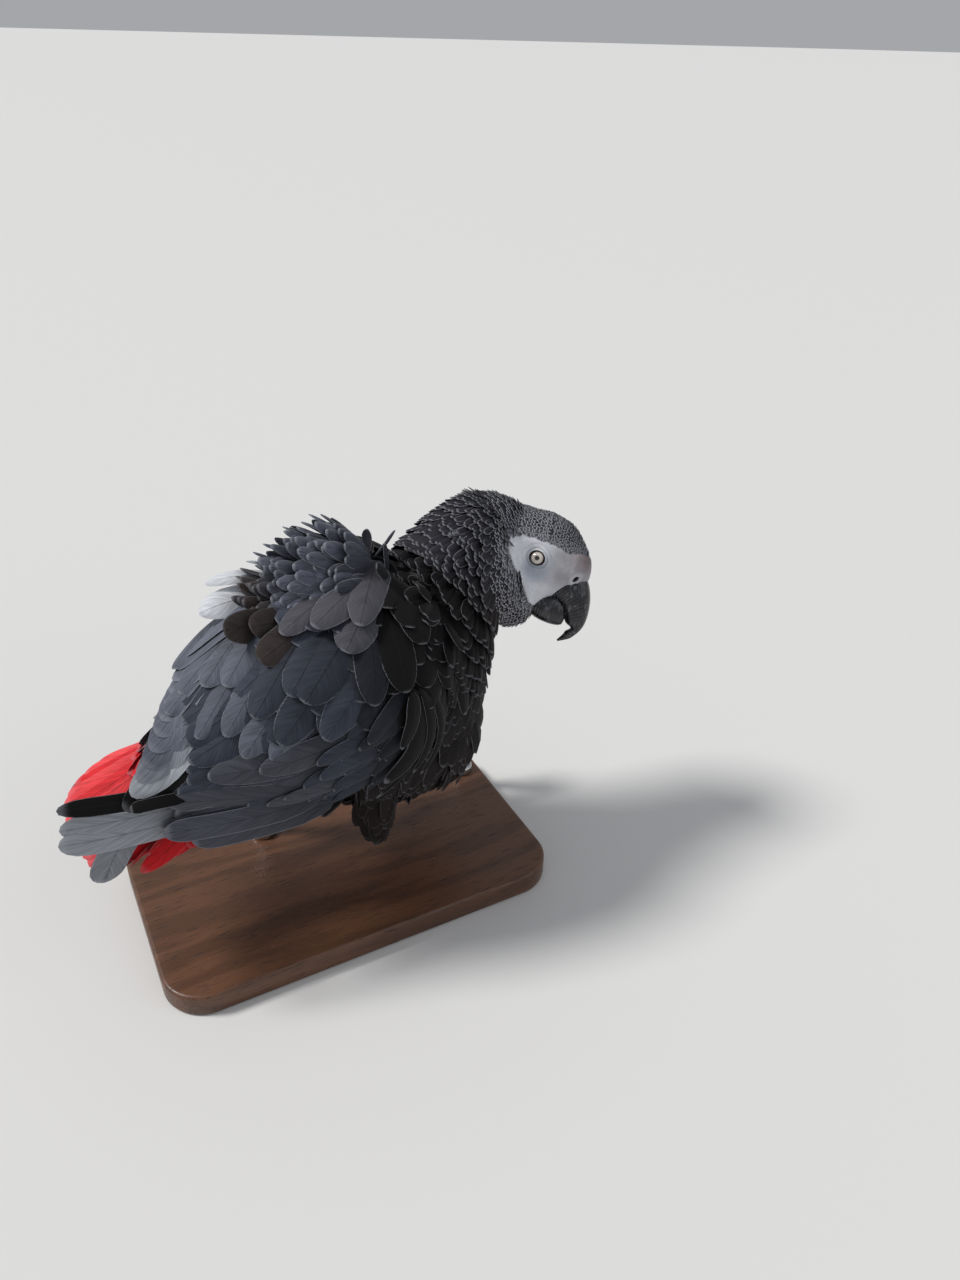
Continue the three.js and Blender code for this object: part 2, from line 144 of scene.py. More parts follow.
# A round section carried along a path: radius at each point, on axes square to the path and to the hint.
def swept(path, radius, sides=16, hint=(0, 0, 1)):
    path = np.asarray(path, float)
    along = unit(np.gradient(path, axis=0))
    across = unit(np.cross(np.asarray(hint, float), along))
    rise = np.cross(along, across)
    turn = np.arange(sides) * 2 * np.pi / sides
    radius = np.broadcast_to(np.asarray(radius, float), (len(path),))[:, None, None]
    ring = across[:, None] * np.cos(turn)[:, None] + rise[:, None] * np.sin(turn)[:, None]
    return closedRings(path[:, None] + ring * radius)


def colourPoints(thing, name, values):
    layer = thing.data.color_attributes.new(name=name, type="FLOAT_COLOR", domain="POINT")
    layer.data.foreach_set("color", np.ascontiguousarray(values, np.float32).ravel())


def mapFaces(thing, name, perPoint):
    corners = np.zeros(len(thing.data.loops), np.int32)
    thing.data.loops.foreach_get("vertex_index", corners)
    layer = thing.data.uv_layers.new(name=name)
    layer.data.foreach_set("uv", np.ascontiguousarray(perPoint[corners], np.float32).ravel())


def finish(thing, material, slotName, *nodes):
    thing.data.materials.clear()
    thing.data.materials.append(material)
    if nodes:
        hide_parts(*nodes)
    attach(thing, "root")
    triangles = sum(len(face.vertices) - 2 for face in thing.data.polygons)
    print(f"{thing.name}: {triangles} triangles")
    return thing


# The camera's place in millimetres, its turns in degrees, and its lens on a sensor of that width.
camera = {"place": (-134.09, -415.56, 434.63), "turn": -28.77, "down": 31.85, "roll": 1.54, "lens": 27.28,
          "sensor": 36, "farthest": 900}


# The camera turns about upright, then looks down, then rolls about its own view.
def setCamera():
    data = bpy.data.cameras.new("camera")
    data.lens = camera["lens"]
    data.sensor_width = camera["sensor"]
    data.clip_end = camera["farthest"]
    thing = bpy.data.objects.new("camera", data)
    turn = Matrix.Rotation(math.radians(camera["turn"]), 4, "Z")
    look = Matrix.Rotation(math.radians(90 - camera["down"]), 4, "X")
    roll = Matrix.Rotation(math.radians(camera["roll"]), 4, "Z")
    place = Matrix.Translation([value * mm for value in camera["place"]])
    thing.matrix_world = place @ turn @ look @ roll
    bpy.context.scene.collection.objects.link(thing)
    bpy.context.scene.camera = thing


setCamera()
print("camera set")


# The head's own frame: its origin is between the eyes; its axes point forward to the bill, to the bird's
# left, and up. headPose is how far the head is turned about each of the body's axes, in degrees.
headPose = {"turn": -40, "nod": 10, "tilt": -25}
eyeRightBox, eyeLeftBox = [np.array(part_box(node)) / mm for node in ("eye_right", "eye_left")]
headOrigin = (eyeRightBox.mean(0) + eyeLeftBox.mean(0)) / 2
headTurns = [Matrix.Rotation(math.radians(headPose[key]), 3, axis) for key, axis in zip(headPose, "ZYX")]
headAxes = np.array(headTurns[0] @ headTurns[1] @ headTurns[2])
headForward, headLeft, headUp = headAxes.T
eyeSize = {"radius": 5.5, "side": 13.4}


# Places of the body in the head's frame, and back.
def toHead(points):
    return (points - headOrigin) @ headAxes


def fromHead(points):
    return headOrigin + np.asarray(points, float) @ headAxes.T


# The body inside its coat is made of tubes of egg-shaped rings: each row is where the ring's middle lies,
# then its reach to side, up and down.
def tubeOf(rows, axes=None):
    rows = np.array(rows, float)
    return {"at": rows[:, :3], "size": rows[:, 3:], "axes": axes, "last": len(rows) - 1}


trunkTube = tubeOf([
    (-90, 0, 119, 9, 6, 7),  # root of the tail
    (-66, 0, 125, 24, 20, 21),  # rump
    (-38, 0, 132, 36, 27, 34),
    (-16, 0, 137, 43, 40, 46),
    (10, 0, 140, 47, 60, 60),  # shoulders
    (34, 0, 142, 44, 65, 62),
    (56, 0, 148, 34, 59, 50),
    (69, 1, 162, 26, 40, 24),
])
breastTube = tubeOf([
    (-14, 0, 139, 40, 20, 46), (10, 0, 140, 46, 24, 73), (31, 0, 144, 41.6, 26, 72),
    (44.8, 0, 143.6, 38.4, 26, 82), (85.9, 1, 165.3, 23, 20, 19.3), (100, 3, 179, 14, 14, 12),
])
neckTube = tubeOf([
    (56, 0, 156, 33, 40, 33),
    (76, 3, 173, 31, 37, 28),
    (94, 6, 184, 30.5, 40.5, 32),
    (108, 7, 188, 27, 38.5, 33),
    (118, 5, 190, 20, 31, 25),
    (125, 1, 190, 8, 15, 10),
])
headSections = np.array([  # forward place in the head's frame, then the reach to side, up and down
    (-36, 12, 16.1, 15.2), (-31, 22, 25.5, 25.3), (-25, 26.8, 25.9, 33.6), (-16, 24.6, 25.4, 39.7),
    (-6, 20.2, 25.2, 41.5), (2, 17.4, 25.2, 36.2), (9, 15.1, 23.9, 23.4), (16, 12.7, 20.7, 18),
    (23, 10.1, 13.7, 12.8), (28, 7.5, 6.5, 8.4), (30, 3.8, -0.2, 6.3),
])
headPlaces = fromHead(np.column_stack([headSections[:, 0], np.zeros((len(headSections), 2))]))
headTube = tubeOf(np.column_stack([headPlaces, headSections[:, 1:]]), (headLeft, headUp))
collarTube = tubeOf([  # the hood's rim, which rides over the fronts of the wings
    (26, 0, 160, 45, 40, 46), (44, 0, 161, 42, 40, 46), (60, 0, 162, 36, 39, 42), (72, 1, 168, 30, 34, 34),
])
thighTubes = {
    "right": tubeOf([(18, -22, 100, 13, 12, 12), (17, -27, 74, 10.5, 8, 8), (17, -30, 60, 5, 4, 4)]),
    "left": tubeOf([(44, 6, 96, 12, 11, 11), (46, 10, 74, 8.5, 8, 8), (46, 12, 62, 4.5, 4.5, 4.5)]),
}
underTailTube = tubeOf([(-56, 0, 110, 16, 6, 8), (-92, -11, 95, 12, 4, 6), (-114, -20, 83, 5, 2, 3)])


# Where a tube's skin is: u counts its rings, and angle turns from the bird's left up and over.
def tubePoint(tube, u, angle):
    middle = through(tube["at"], u)
    size = through(tube["size"], u)
    if tube["axes"] is None:
        ahead = unit(through(tube["at"], u + 0.05) - through(tube["at"], u - 0.05))
        across = unit(np.cross((0.0, 0.0, 1.0), ahead))
        upward = np.cross(ahead, across)
    else:
        across, upward = tube["axes"]
    rise = np.where(np.sin(angle) > 0, size[..., 1], size[..., 2])
    side, up = np.cos(angle) * size[..., 0], np.sin(angle) * rise
    return middle + across * side[..., None] + upward * up[..., None]


# The way out of a tube: square to its steps along and round.
def tubeNormal(tube, u, angle):
    alongU = tubePoint(tube, u + 0.04, angle) - tubePoint(tube, u - 0.04, angle)
    alongAngle = tubePoint(tube, u, angle + 0.03) - tubePoint(tube, u, angle - 0.03)
    return unit(np.cross(alongAngle, alongU))


# A tube as evenly spaced rings of evenly spaced points.
def tubeRings(tube, rows, count):
    u = np.linspace(0, tube["last"], rows)[:, None] + np.zeros((1, count))
    angle = np.zeros((rows, 1)) + np.arange(count) * 2 * np.pi / count
    return tubePoint(tube, u, angle)


# True for points that lie well inside a tube: in some ring's plane and within its outline.
def insideTube(tube, points, share=0.84):
    u = np.linspace(0, tube["last"], 70)
    middle, size = through(tube["at"], u), through(tube["size"], u)
    ahead = unit(np.gradient(middle, axis=0))
    if tube["axes"] is None:
        across = unit(np.cross((0.0, 0.0, 1.0), ahead))
        upward = np.cross(ahead, across)
    else:
        across, upward = [np.broadcast_to(axis, middle.shape) for axis in tube["axes"]]
        ahead = np.cross(across, upward)
    offset = points[:, None] - middle
    depth, side, rise = [(offset * axis).sum(-1) for axis in (ahead, across, upward)]
    reach = np.where(rise > 0, size[:, 1], size[:, 2])
    spacing = lengthOf(np.gradient(middle, axis=0))
    filled = (side / size[:, 0]) ** 2 + (rise / reach) ** 2 < share
    return (filled & (np.abs(depth) < spacing)).any(1)


# The markings are the same on skin and coat. The bare face lies inside this outline, forward and up from the
# middle of the head.
faceOutline = np.array([
    (-17.5, 7.5), (-13, 11), (-6, 12.3), (2, 11), (10, 8.6), (18, 7.6), (24, 8.5), (33, 6), (36, -8),
    (24, -22), (12, -24), (6, -27), (2, -25), (-1.5, -19.5), (-5.5, -13), (-10, -7), (-14.5, 0),
])


# The distance inside the outline, negative outside it: the least distance to any edge. A place is inside if a
# line from it crosses an odd number of edges.
def insideFace(forward, rise):
    start, end = faceOutline, np.roll(faceOutline, -1, axis=0)
    place = np.stack([forward, rise], -1)[..., None, :]
    edge = end - start
    t = np.clip(((place - start) * edge).sum(-1) / (edge ** 2).sum(-1), 0, 1)
    distance = lengthOf(place - start - edge * t[..., None]).min(-1)
    crossing = (start[:, 1] > place[..., 1]) != (end[:, 1] > place[..., 1])
    height = np.where(end[:, 1] == start[:, 1], 1, end[:, 1] - start[:, 1])
    meets = start[:, 0] + (place[..., 1] - start[:, 1]) * edge[:, 0] / height
    odd = (crossing & (place[..., 0] < meets)).sum(-1) % 2 == 1
    return np.where(odd, distance, -distance)


# The two near-black colours stand in for deep shade: painted shade. The brownish breast and belly colours are
# darkened with painted shade as well.
colours = {name: shade(*screen) for name, screen in {
    "crown": (54, 54, 59), "nape": (42, 42, 48), "throat": (36, 30, 31), "mantle": (88, 91, 103),
    "breast": (31, 27, 28), "belly": (34, 27, 25), "rump": (112, 114, 122), "wing": (58, 62, 72),
    "flight": (94, 98, 109), "quill": (78, 80, 88), "shadeDark": (15, 15, 17), "scapular": (76, 76, 82),
    "pale": (164, 168, 175), "brown": (62, 56, 54), "hood": (17, 16, 18), "cheek": (112, 113, 119),
    "red": (206, 34, 42), "salmon": (232, 84, 88), "bare": (210, 212, 218),
}.items()}


# The coat's ground colour at a place: grey, paler on the crown and rump, brownish below, with painted shade
# making the breast, belly and lower neck darker.
def groundColour(points):
    head = toHead(points)
    # painted shade: darker down the breast and belly
    tone = between(colours["mantle"], colours["breast"], easy(points[:, 2], 170, 120))
    tone = between(tone, colours["belly"], easy(points[:, 2], 112, 84))
    tone = between(tone, colours["rump"], easy(points[:, 0], -30, -62) * easy(points[:, 2], 122, 138))
    alongNeckAt = (points * (0.8, 0.0, 0.6)).sum(-1)
    alongNeck = easy(alongNeckAt, 142, 158)
    nape = between(colours["throat"], colours["nape"], easy(points[:, 2], 140, 178))
    tone = between(tone, nape, alongNeck)
    # painted shade: a near-black band round the lower neck
    hoodShade = easy(alongNeckAt, 104, 126) * easy(alongNeckAt, 200, 172) * easy(points[:, 2], 214, 196)
    hoodShade = hoodShade * easy(points[:, 2], 118, 138) * easy(points[:, 0], 20, 34)
    tone = between(tone, colours["hood"], hoodShade)
    behind = easy(points[:, 0], 0, -14) * easy(points[:, 2], 172, 182)
    tone = between(tone, colours["brown"], behind)
    beside = easy(insideFace(head[:, 0], head[:, 2]), -6, 0) * easy(lengthOf(head), 46, 42)
    onHead = easy(head[:, 0], -30, -12) * easy(lengthOf(head), 60, 48)
    crown = between(colours["throat"], colours["crown"], easy(head[:, 2], -30, -8))
    tone = between(tone, between(crown, colours["cheek"], beside * 0.7), onHead)
    redder = easy(points[:, 0], -76, -86)
    return between(tone, colours["red"], redder)


print("body and markings ready")


# A short way to build a shader: each call adds a node, fills its inputs and returns its output.
class Shader:
    def __init__(self, name, roughness=0.6):
        self.material = bpy.data.materials.new(name)
        self.material.use_nodes = True
        self.tree = self.material.node_tree
        self.main = self.tree.nodes["Principled BSDF"]
        self.main.inputs["Roughness"].default_value = roughness

    def put(self, kind, inputs=None, output=0, **settings):
        node = self.tree.nodes.new(kind)
        for key, value in settings.items():
            setattr(node, key, value)
        for key, value in (inputs or {}).items():
            self.feed(node.inputs[key], value)
        return node.outputs[output]

    def feed(self, socket, value):
        if isinstance(value, bpy.types.NodeSocket):
            self.tree.links.new(value, socket)
        elif socket.type == "RGBA":
            socket.default_value = (*value[:3], 1)
        else:
            socket.default_value = value

    def sum(self, operation, first, second=0.0, third=0.0):
        return self.put("ShaderNodeMath", {0: first, 1: second, 2: third}, operation=operation)

    def step(self, value, low, high, start=0.0, end=1.0):
        inputs = {"Value": value, "From Min": low, "From Max": high, "To Min": start, "To Max": end}
        return self.put("ShaderNodeMapRange", inputs, interpolation_type="SMOOTHSTEP")

    def mix(self, share, low, high, blend="MIX"):
        return self.put("ShaderNodeMix", {0: share, 6: low, 7: high}, 2, data_type="RGBA", blend_type=blend)

    def noise(self, vector, scale, detail=3.0, roughness=0.55):
        inputs = {"Vector": vector, "Scale": scale, "Detail": detail, "Roughness": roughness}
        return self.put("ShaderNodeTexNoise", inputs)

    def place(self):
        return self.put("ShaderNodeTexCoord", output=3)

    def stretched(self, vector, scale, detail):
        inputs = {0: vector, 1: scale}
        return self.noise(self.put("ShaderNodeVectorMath", inputs, operation="MULTIPLY"), 1.0, detail)

    def part(self, vector, k):
        return self.put("ShaderNodeSeparateXYZ", {0: vector}, k)

    def attribute(self, name, output):
        return self.put("ShaderNodeAttribute", output=output, attribute_name=name)

    def dim(self, colour, share):
        grey = self.put("ShaderNodeCombineColor", {0: share, 1: share, 2: share})
        return self.mix(1.0, colour, grey, "MULTIPLY")

    def bump(self, height, strength, distance=0.0003):
        inputs = {"Height": height, "Strength": strength, "Distance": distance}
        self.feed(self.main.inputs["Normal"], self.put("ShaderNodeBump", inputs))

    def paint(self, socket, value):
        self.feed(self.main.inputs[socket], value)


# Feather: tint carries the colour, its alpha how pale the edge is; vaneData the edge's width, the length
# in millimetres and a chance number. The vane map runs across from edge to edge and along from root to tip.
def featherMaterial(name, roughness, barbs):
    made = Shader(name, roughness)
    tint = made.attribute("tint", 0)
    paleness = made.attribute("tint", 3)
    vane = made.put("ShaderNodeUVMap", uv_map="vane")
    across, along = [made.part(vane, k) for k in range(2)]
    data = made.attribute("vaneData", 1)
    rim, length, chance = [made.part(data, k) for k in range(3)]
    outward = made.sum("ABSOLUTE", made.sum("MULTIPLY_ADD", across, 2.0, -1.0))
    # barbs: fine lines that leave the shaft and lean towards the tip
    lean = made.sum("MULTIPLY_ADD", outward, -0.22, along)
    line = made.sum("MULTIPLY", lean, made.sum("MULTIPLY", length, barbs))
    spread = made.sum("MULTIPLY_ADD", outward, 0.8, made.sum("MULTIPLY", chance, 90.0))
    barb = made.noise(made.put("ShaderNodeCombineXYZ", {0: line, 1: spread}), 1.0, 3.0)
    broad = made.put("ShaderNodeCombineXYZ", {0: made.sum("MULTIPLY", line, 0.16), 1: spread})
    patch = made.noise(broad, 1.0, 2.0)
    light = made.sum("ADD", made.step(barb, 0.3, 0.7, 0.8, 1.18), made.step(patch, 0.3, 0.7, -0.14, 0.14))
    # the pale edge: past one less the rim's width, ragged by the barbs
    rag = made.sum("MULTIPLY", made.sum("SUBTRACT", barb, 0.5), 0.16)
    side = made.step(made.sum("ADD", outward, rag), made.sum("SUBTRACT", 1.0, rim),
                     made.sum("MULTIPLY_ADD", rim, -0.4, 1.0))
    tip = made.step(made.sum("MULTIPLY_ADD", rag, 0.5, along), made.sum("MULTIPLY_ADD", rim, -0.62, 1.0),
                    made.sum("MULTIPLY_ADD", rim, -0.2, 1.0))
    edge = made.sum("MULTIPLY", made.sum("MAXIMUM", side, tip), paleness)
    shadow = made.step(along, 0.05, 0.75, 0.5, 1.0)
    shaft = made.step(outward, 0.0, 0.07, 0.35, 0.0)
    ground = made.dim(made.dim(tint, light), shadow)
    lighter = made.mix(0.62, tint, shade(190, 192, 200))
    colour = made.mix(edge, ground, lighter)
    made.paint("Base Color", made.mix(shaft, colour, shade(30, 29, 32)))
    made.paint("Sheen Weight", 0.05)
    made.paint("Specular IOR Level", 0.14)
    height = made.sum("ADD", barb, made.step(outward, 0.0, 0.08, 1.2, 0.0))
    made.bump(height, 0.5, 0.00025)
    return made.material


# Skin: the tint attribute, with fine creases and powder where its alpha says that it is bare.
def skinMaterial():
    made = Shader("bareSkin", 0.62)
    tint = made.attribute("tint", 0)
    bare = made.attribute("tint", 3)
    place = made.place()
    powder = made.noise(place, 900.0, 4.0)
    soft = made.noise(place, 130.0, 3.0)
    creases = made.put("ShaderNodeTexVoronoi", {"Vector": place, "Scale": 1150.0}, feature="DISTANCE_TO_EDGE")
    light = made.sum("ADD", made.step(powder, 0.3, 0.7, 0.93, 1.05), made.step(soft, 0.3, 0.7, -0.06, 0.06))
    made.paint("Base Color", made.dim(tint, light))
    made.paint("Subsurface Weight", 0.06)
    made.main.inputs["Subsurface Scale"].default_value = 0.002
    made.paint("Specular IOR Level", 0.35)
    height = made.sum("ADD", made.step(creases, 0.0, 0.25), made.sum("MULTIPLY", powder, 0.8))
    made.bump(made.sum("MULTIPLY", height, bare), 0.45, 0.00015)
    return made.material


# Bill: near-black horn with growth lines and patches of a grey powdery bloom.
def billMaterial():
    made = Shader("billHorn", 0.3)
    place = made.place()
    bloom = made.noise(place, 260.0, 6.0, 0.7)
    streak = made.stretched(place, (900.0, 900.0, 160.0), 4.0)
    powder = made.sum("MULTIPLY", made.step(bloom, 0.46, 0.72), made.step(streak, 0.4, 0.65))
    horn = made.mix(made.step(streak, 0.3, 0.7), shade(24, 24, 27), shade(38, 38, 43))
    made.paint("Base Color", made.mix(made.sum("MULTIPLY", powder, 0.75), horn, shade(140, 142, 150)))
    made.paint("Roughness", made.step(powder, 0.0, 0.6, 0.24, 0.7))
    made.paint("Coat Weight", 0.15)
    made.bump(made.sum("ADD", streak, made.sum("MULTIPLY", bloom, 0.6)), 0.35, 0.0002)
    return made.material


# Eye: rings about the line through its middle, measured as the distance from that line.
def eyeMaterial(name, centre, way):
    made = Shader(name, 0.08)
    offset = made.put("ShaderNodeVectorMath", {0: made.place(), 1: tuple(centre * mm)}, operation="SUBTRACT")
    away = made.put("ShaderNodeVectorMath", {0: offset, 1: tuple(way)}, operation="CROSS_PRODUCT")
    radius = made.put("ShaderNodeVectorMath", {0: away}, 1, operation="LENGTH")
    fibre = made.noise(made.put("ShaderNodeVectorMath", {0: offset}, operation="NORMALIZE"), 34.0, 5.0)
    iris = made.mix(made.step(fibre, 0.35, 0.65), shade(188, 180, 168), shade(218, 212, 204))
    iris = made.mix(made.step(radius, 0.0011, 0.0019), shade(146, 136, 122), iris)  # darker by the pupil
    iris = made.mix(made.step(radius, 0.0028, 0.0034), iris, shade(112, 100, 92))  # brown towards the rim
    iris = made.mix(made.step(radius, 0.0035, 0.0037), iris, shade(30, 26, 26))  # dark beyond it
    made.paint("Base Color", made.mix(made.step(radius, 0.00108, 0.00122), shade(5, 5, 6), iris))
    made.paint("Coat Weight", 1.0)
    made.paint("Coat Roughness", 0.02)
    return made.material


# Foot skin: grey, with raised round scales and darker creases between them.
def footMaterial():
    made = Shader("footScales", 0.55)
    place = made.place()
    scales = made.put("ShaderNodeTexVoronoi", {"Vector": place, "Scale": 900.0}, feature="DISTANCE_TO_EDGE")
    dust = made.noise(place, 500.0, 4.0)
    skin = made.mix(made.step(scales, 0.02, 0.16), shade(52, 50, 50), shade(112, 110, 110))
    made.paint("Base Color", made.mix(made.step(dust, 0.4, 0.75), skin, shade(138, 136, 134)))
    made.bump(made.step(scales, 0.0, 0.2), 0.7, 0.0003)
    return made.material


def clawMaterial():
    made = Shader("clawHorn", 0.28)
    streak = made.noise(made.place(), 700.0, 4.0)
    made.paint("Base Color", made.mix(made.step(streak, 0.4, 0.7), shade(20, 20, 22), shade(58, 56, 56)))
    made.bump(streak, 0.2, 0.0002)
    return made.material


# Painted bar: dark grey paint, thin and scuffed to metal here and there along its top.
def barMaterial():
    made = Shader("barPaint", 0.45)
    place = made.place()
    scuff = made.noise(place, 420.0, 6.0, 0.7)
    upward = made.part(made.put("ShaderNodeNewGeometry", output=1), 2)
    worn = made.sum("MULTIPLY", made.step(scuff, 0.56, 0.66), made.step(upward, 0.2, 0.9))
    paint = made.mix(made.step(scuff, 0.3, 0.7), shade(70, 72, 74), shade(88, 90, 92))
    made.paint("Base Color", made.mix(worn, paint, shade(150, 146, 140)))
    made.paint("Metallic", made.sum("MULTIPLY", worn, 0.9))
    made.bump(scuff, 0.15, 0.0002)
    return made.material


# Satin steel: fine turning lines round each rod.
def steelMaterial():
    made = Shader("satinSteel", 0.3)
    place = made.place()
    lathe = made.stretched(place, (60.0, 60.0, 5200.0), 2.0)
    smear = made.noise(place, 90.0, 3.0)
    made.paint("Base Color", made.mix(made.step(smear, 0.3, 0.7), shade(176, 178, 180), shade(198, 199, 200)))
    made.paint("Metallic", 1.0)
    made.paint("Roughness", made.step(lathe, 0.3, 0.7, 0.24, 0.4))
    made.bump(lathe, 0.12, 0.0001)
    return made.material


# Oiled walnut: long wavy rings along the board, with fine dark pores.
def walnutMaterial():
    made = Shader("oiledWalnut", 0.38)
    place = made.place()
    drift = made.stretched(place, (5.0, 30.0, 30.0), 5.0)
    across, depth = made.part(place, 1), made.part(place, 2)
    ring = made.sum("ADD", made.sum("MULTIPLY", across, 260.0), made.sum("MULTIPLY", depth, 160.0))
    ring = made.sum("SINE", made.sum("MULTIPLY_ADD", drift, 26.0, ring))
    pores = made.stretched(place, (70.0, 1500.0, 1500.0), 3.0)
    wood = made.mix(made.step(ring, -1.0, 1.0), shade(84, 57, 41), shade(99, 68, 49))
    made.paint("Base Color", made.mix(made.step(pores, 0.56, 0.68), wood, shade(44, 27, 20)))
    made.paint("Roughness", made.step(pores, 0.45, 0.7, 0.34, 0.55))
    made.bump(made.step(pores, 0.66, 0.5), 0.25, 0.0002)
    return made.material


materials = {
    "feather": featherMaterial("featherVane", 0.68, 1.5), "skin": skinMaterial(), "bill": billMaterial(),
    "foot": footMaterial(), "claw": clawMaterial(), "bar": barMaterial(), "steel": steelMaterial(),
    "walnut": walnutMaterial(),
}
print("materials ready")


# The skin's remesh size, its rounds of smoothing, the extra cuts on the face, and the wings' inner thickness.
skin = {"voxel": 1.6, "smoothing": 6, "faceCuts": 3, "wingFlesh": 2.2}


# A modifier's result, kept in the mesh.
def applyModifiers(thing):
    bpy.context.view_layer.update()
    result = bpy.data.meshes.new_from_object(thing.evaluated_get(bpy.context.evaluated_depsgraph_get()))
    thing.modifiers.clear()
    thing.data = result
    return thing


def pointsOf(thing):
    points = np.zeros(len(thing.data.vertices) * 3)
    thing.data.vertices.foreach_get("co", points)
    return points.reshape(-1, 3) / mm


# Finer faces where the bare face shows, so that lids, cere and nostrils have room.
def refineFace(thing):
    work = bmesh.new()
    work.from_mesh(thing.data)
    middles = toHead(np.array([face.calc_center_median() for face in work.faces]) / mm)
    near = (insideFace(middles[:, 0], middles[:, 2]) > -1.5) & (middles[:, 0] > -20)
    near &= np.abs(middles[:, 1]) < 24
    near &= lengthOf(middles) < 46
    chosen = [face for face, wanted in zip(work.faces, near) if wanted]
    edges = list({edge for face in chosen for edge in face.edges})
    bmesh.ops.subdivide_edges(work, edges=edges, cuts=skin["faceCuts"], use_grid_fill=True, smooth=0.6)
    bmesh.ops.triangulate(work, faces=[face for face in work.faces if len(face.verts) > 4])
    work.to_mesh(thing.data)
    work.free()


lids = {"slant": 18, "narrow": 0.92, "high": 1.05, "level": 4.2, "depth": 1.5}


# The lids' opening is a slightly slanted oval: 4 on its edge, more outside.
def lidDistance(forward, rise):
    slant = math.radians(lids["slant"])
    along = forward * math.cos(slant) - rise * math.sin(slant)
    across = forward * math.sin(slant) + rise * math.cos(slant)
    return np.hypot(along * lids["narrow"], across * lids["high"])


nostril = {"at": (23.0, 8.2, -5.8), "way": (0.55, 0.0, 0.83), "long": 1.7}


# Millimetres from the middle of a nostril, counted less along its slanted length.
def nostrilDistance(head):
    offset = head * (1, 0, 1) + np.abs(head) * (0, 1, 0) - nostril["at"]
    slant = offset @ np.array(nostril["way"])
    return np.sqrt(np.maximum((offset ** 2).sum(-1) - slant ** 2, 0) + (slant / nostril["long"]) ** 2)


# Lids are a raised ring round each eye with two soft folds outside it; the skin under the eyeball sinks.
# The cere swells round the nostrils, the lores are a shallow hollow and the cheek a low swelling.
def sculptFace(thing):
    points = pointsOf(thing)
    normals = np.zeros(len(points) * 3)
    thing.data.vertices.foreach_get("normal", normals)
    normals = normals.reshape(-1, 3)
    head = toHead(points)
    forward, side, rise = head.T

    def bump(distance, width):
        return np.exp(-(distance / width) ** 2)

    away = lidDistance(forward, rise)
    onSide = easy(np.abs(side), 9, 12) * easy(away, 13, 9)
    base = eyeSize["side"] + lids["level"]
    turn = np.arctan2(rise, forward)
    part = 0.6 + 0.4 * np.sin(turn + 0.9)  # the folds are deeper in front and above
    lid = 0.7 * bump(away - 4.4, 0.42) + (0.18 * bump(away - 6.6, 0.6) - 0.26 * bump(away - 5.6, 0.5)) * part
    lid += (0.12 * bump(away - 8.6, 0.8) - 0.14 * bump(away - 7.6, 0.6)) * part ** 2
    level = (base - np.abs(side)) * easy(away, 8.5, 4.5)  # the opening lies in one plane
    socket = -lids["depth"] * easy(away, 4.0, 3.5)
    outward = np.sign(side)[:, None] * headLeft
    points = points + outward * (onSide * (lid + level + socket))[:, None]

    sides = np.abs(side)
    hole = nostrilDistance(head)
    swell = 0.55 * easy(forward, 18.5, 21.5) * easy(rise, -13, -8) * easy(rise, 10, 6)
    swell += 0.25 * bump(hole - 2.2, 0.6) - 2.4 * bump(hole, 1.0)
    cheek = lengthOf(np.stack([forward + 1, rise + 13], -1))
    lores = lengthOf(np.stack([forward - 12, rise - 1], -1))
    brow = np.abs(rise - 9.0 + 0.02 * forward ** 2)
    swell += (0.8 * bump(cheek, 6) - 0.7 * bump(lores, 4.5) + 0.35 * bump(brow, 1.8)) * easy(sides, 6, 10)
    ofFace = easy(insideFace(forward, rise), -1.0, 1.5) * easy(forward, -19, -16)
    points = points + normals * (swell * ofFace)[:, None]
    thing.data.vertices.foreach_set("co", (points * mm).ravel())
    thing.data.update()


# The skin's colour and, as alpha, how bare it is. Inside the face's outline it is bare and pale, elsewhere it
# is a darker tone of the coat's ground: painted shade, so that skin seen between feathers reads as shade.
def skinTint(points):
    head = toHead(points)
    forward, side, rise = head.T
    inside = easy(insideFace(forward, rise), -0.8, 0.8) * easy(np.abs(side), 1.0, 5.0 - 0.1 * forward)
    inside = np.maximum(inside, easy(insideFace(forward, rise), -0.8, 0.8) * easy(forward, 19, 22))
    inside *= easy(forward, -20, -17) * easy(lengthOf(head), 48, 44)
    # painted shade: the skin under the coat is half as bright as the coat's ground
    tone = groundColour(points) * 0.5
    away = lidDistance(forward, rise)
    bare = colours["bare"] * np.ones((len(points), 1))
    # painted shade on the bare face: bluish grey under the eye and greyer lores towards the bill
    belowEye = easy(np.hypot(forward - 1, rise + 6), 11, 3)
    bare = between(bare, shade(160, 167, 179), belowEye)  # bluish
    bare = between(bare, shade(156, 154, 159), easy(forward, 2, 15) * easy(rise, -18, -6))  # greyer lores
    flush = easy(np.hypot(forward - 27, rise - 6), 12, 1)
    bare = between(bare, shade(112, 98, 98), flush * 0.85)  # flushed cere
    bare = between(bare, shade(206, 208, 212), easy(nostrilDistance(head), 3.4, 2.2) * 0.6)
    onSide = easy(np.abs(side), 9, 12)
    # painted shade in the two creases round the eye, where the sculpted folds sink
    bare = between(bare, shade(120, 124, 134), easy(np.abs(away - 5.5), 0.8, 0.1) * 0.4 * onSide)
    bare = between(bare, shade(126, 130, 140), easy(np.abs(away - 7.5), 0.9, 0.1) * 0.15 * onSide)
    bare = between(bare, shade(44, 38, 40), easy(np.abs(away - 3.9), 0.5, 0.22) * onSide)
    # painted shade: the nostril pit is near black
    bare = between(bare, shade(8, 8, 9), easy(nostrilDistance(head), 1.6, 1.25))
    tone = between(tone, bare, inside)
    return np.column_stack([tone, inside])


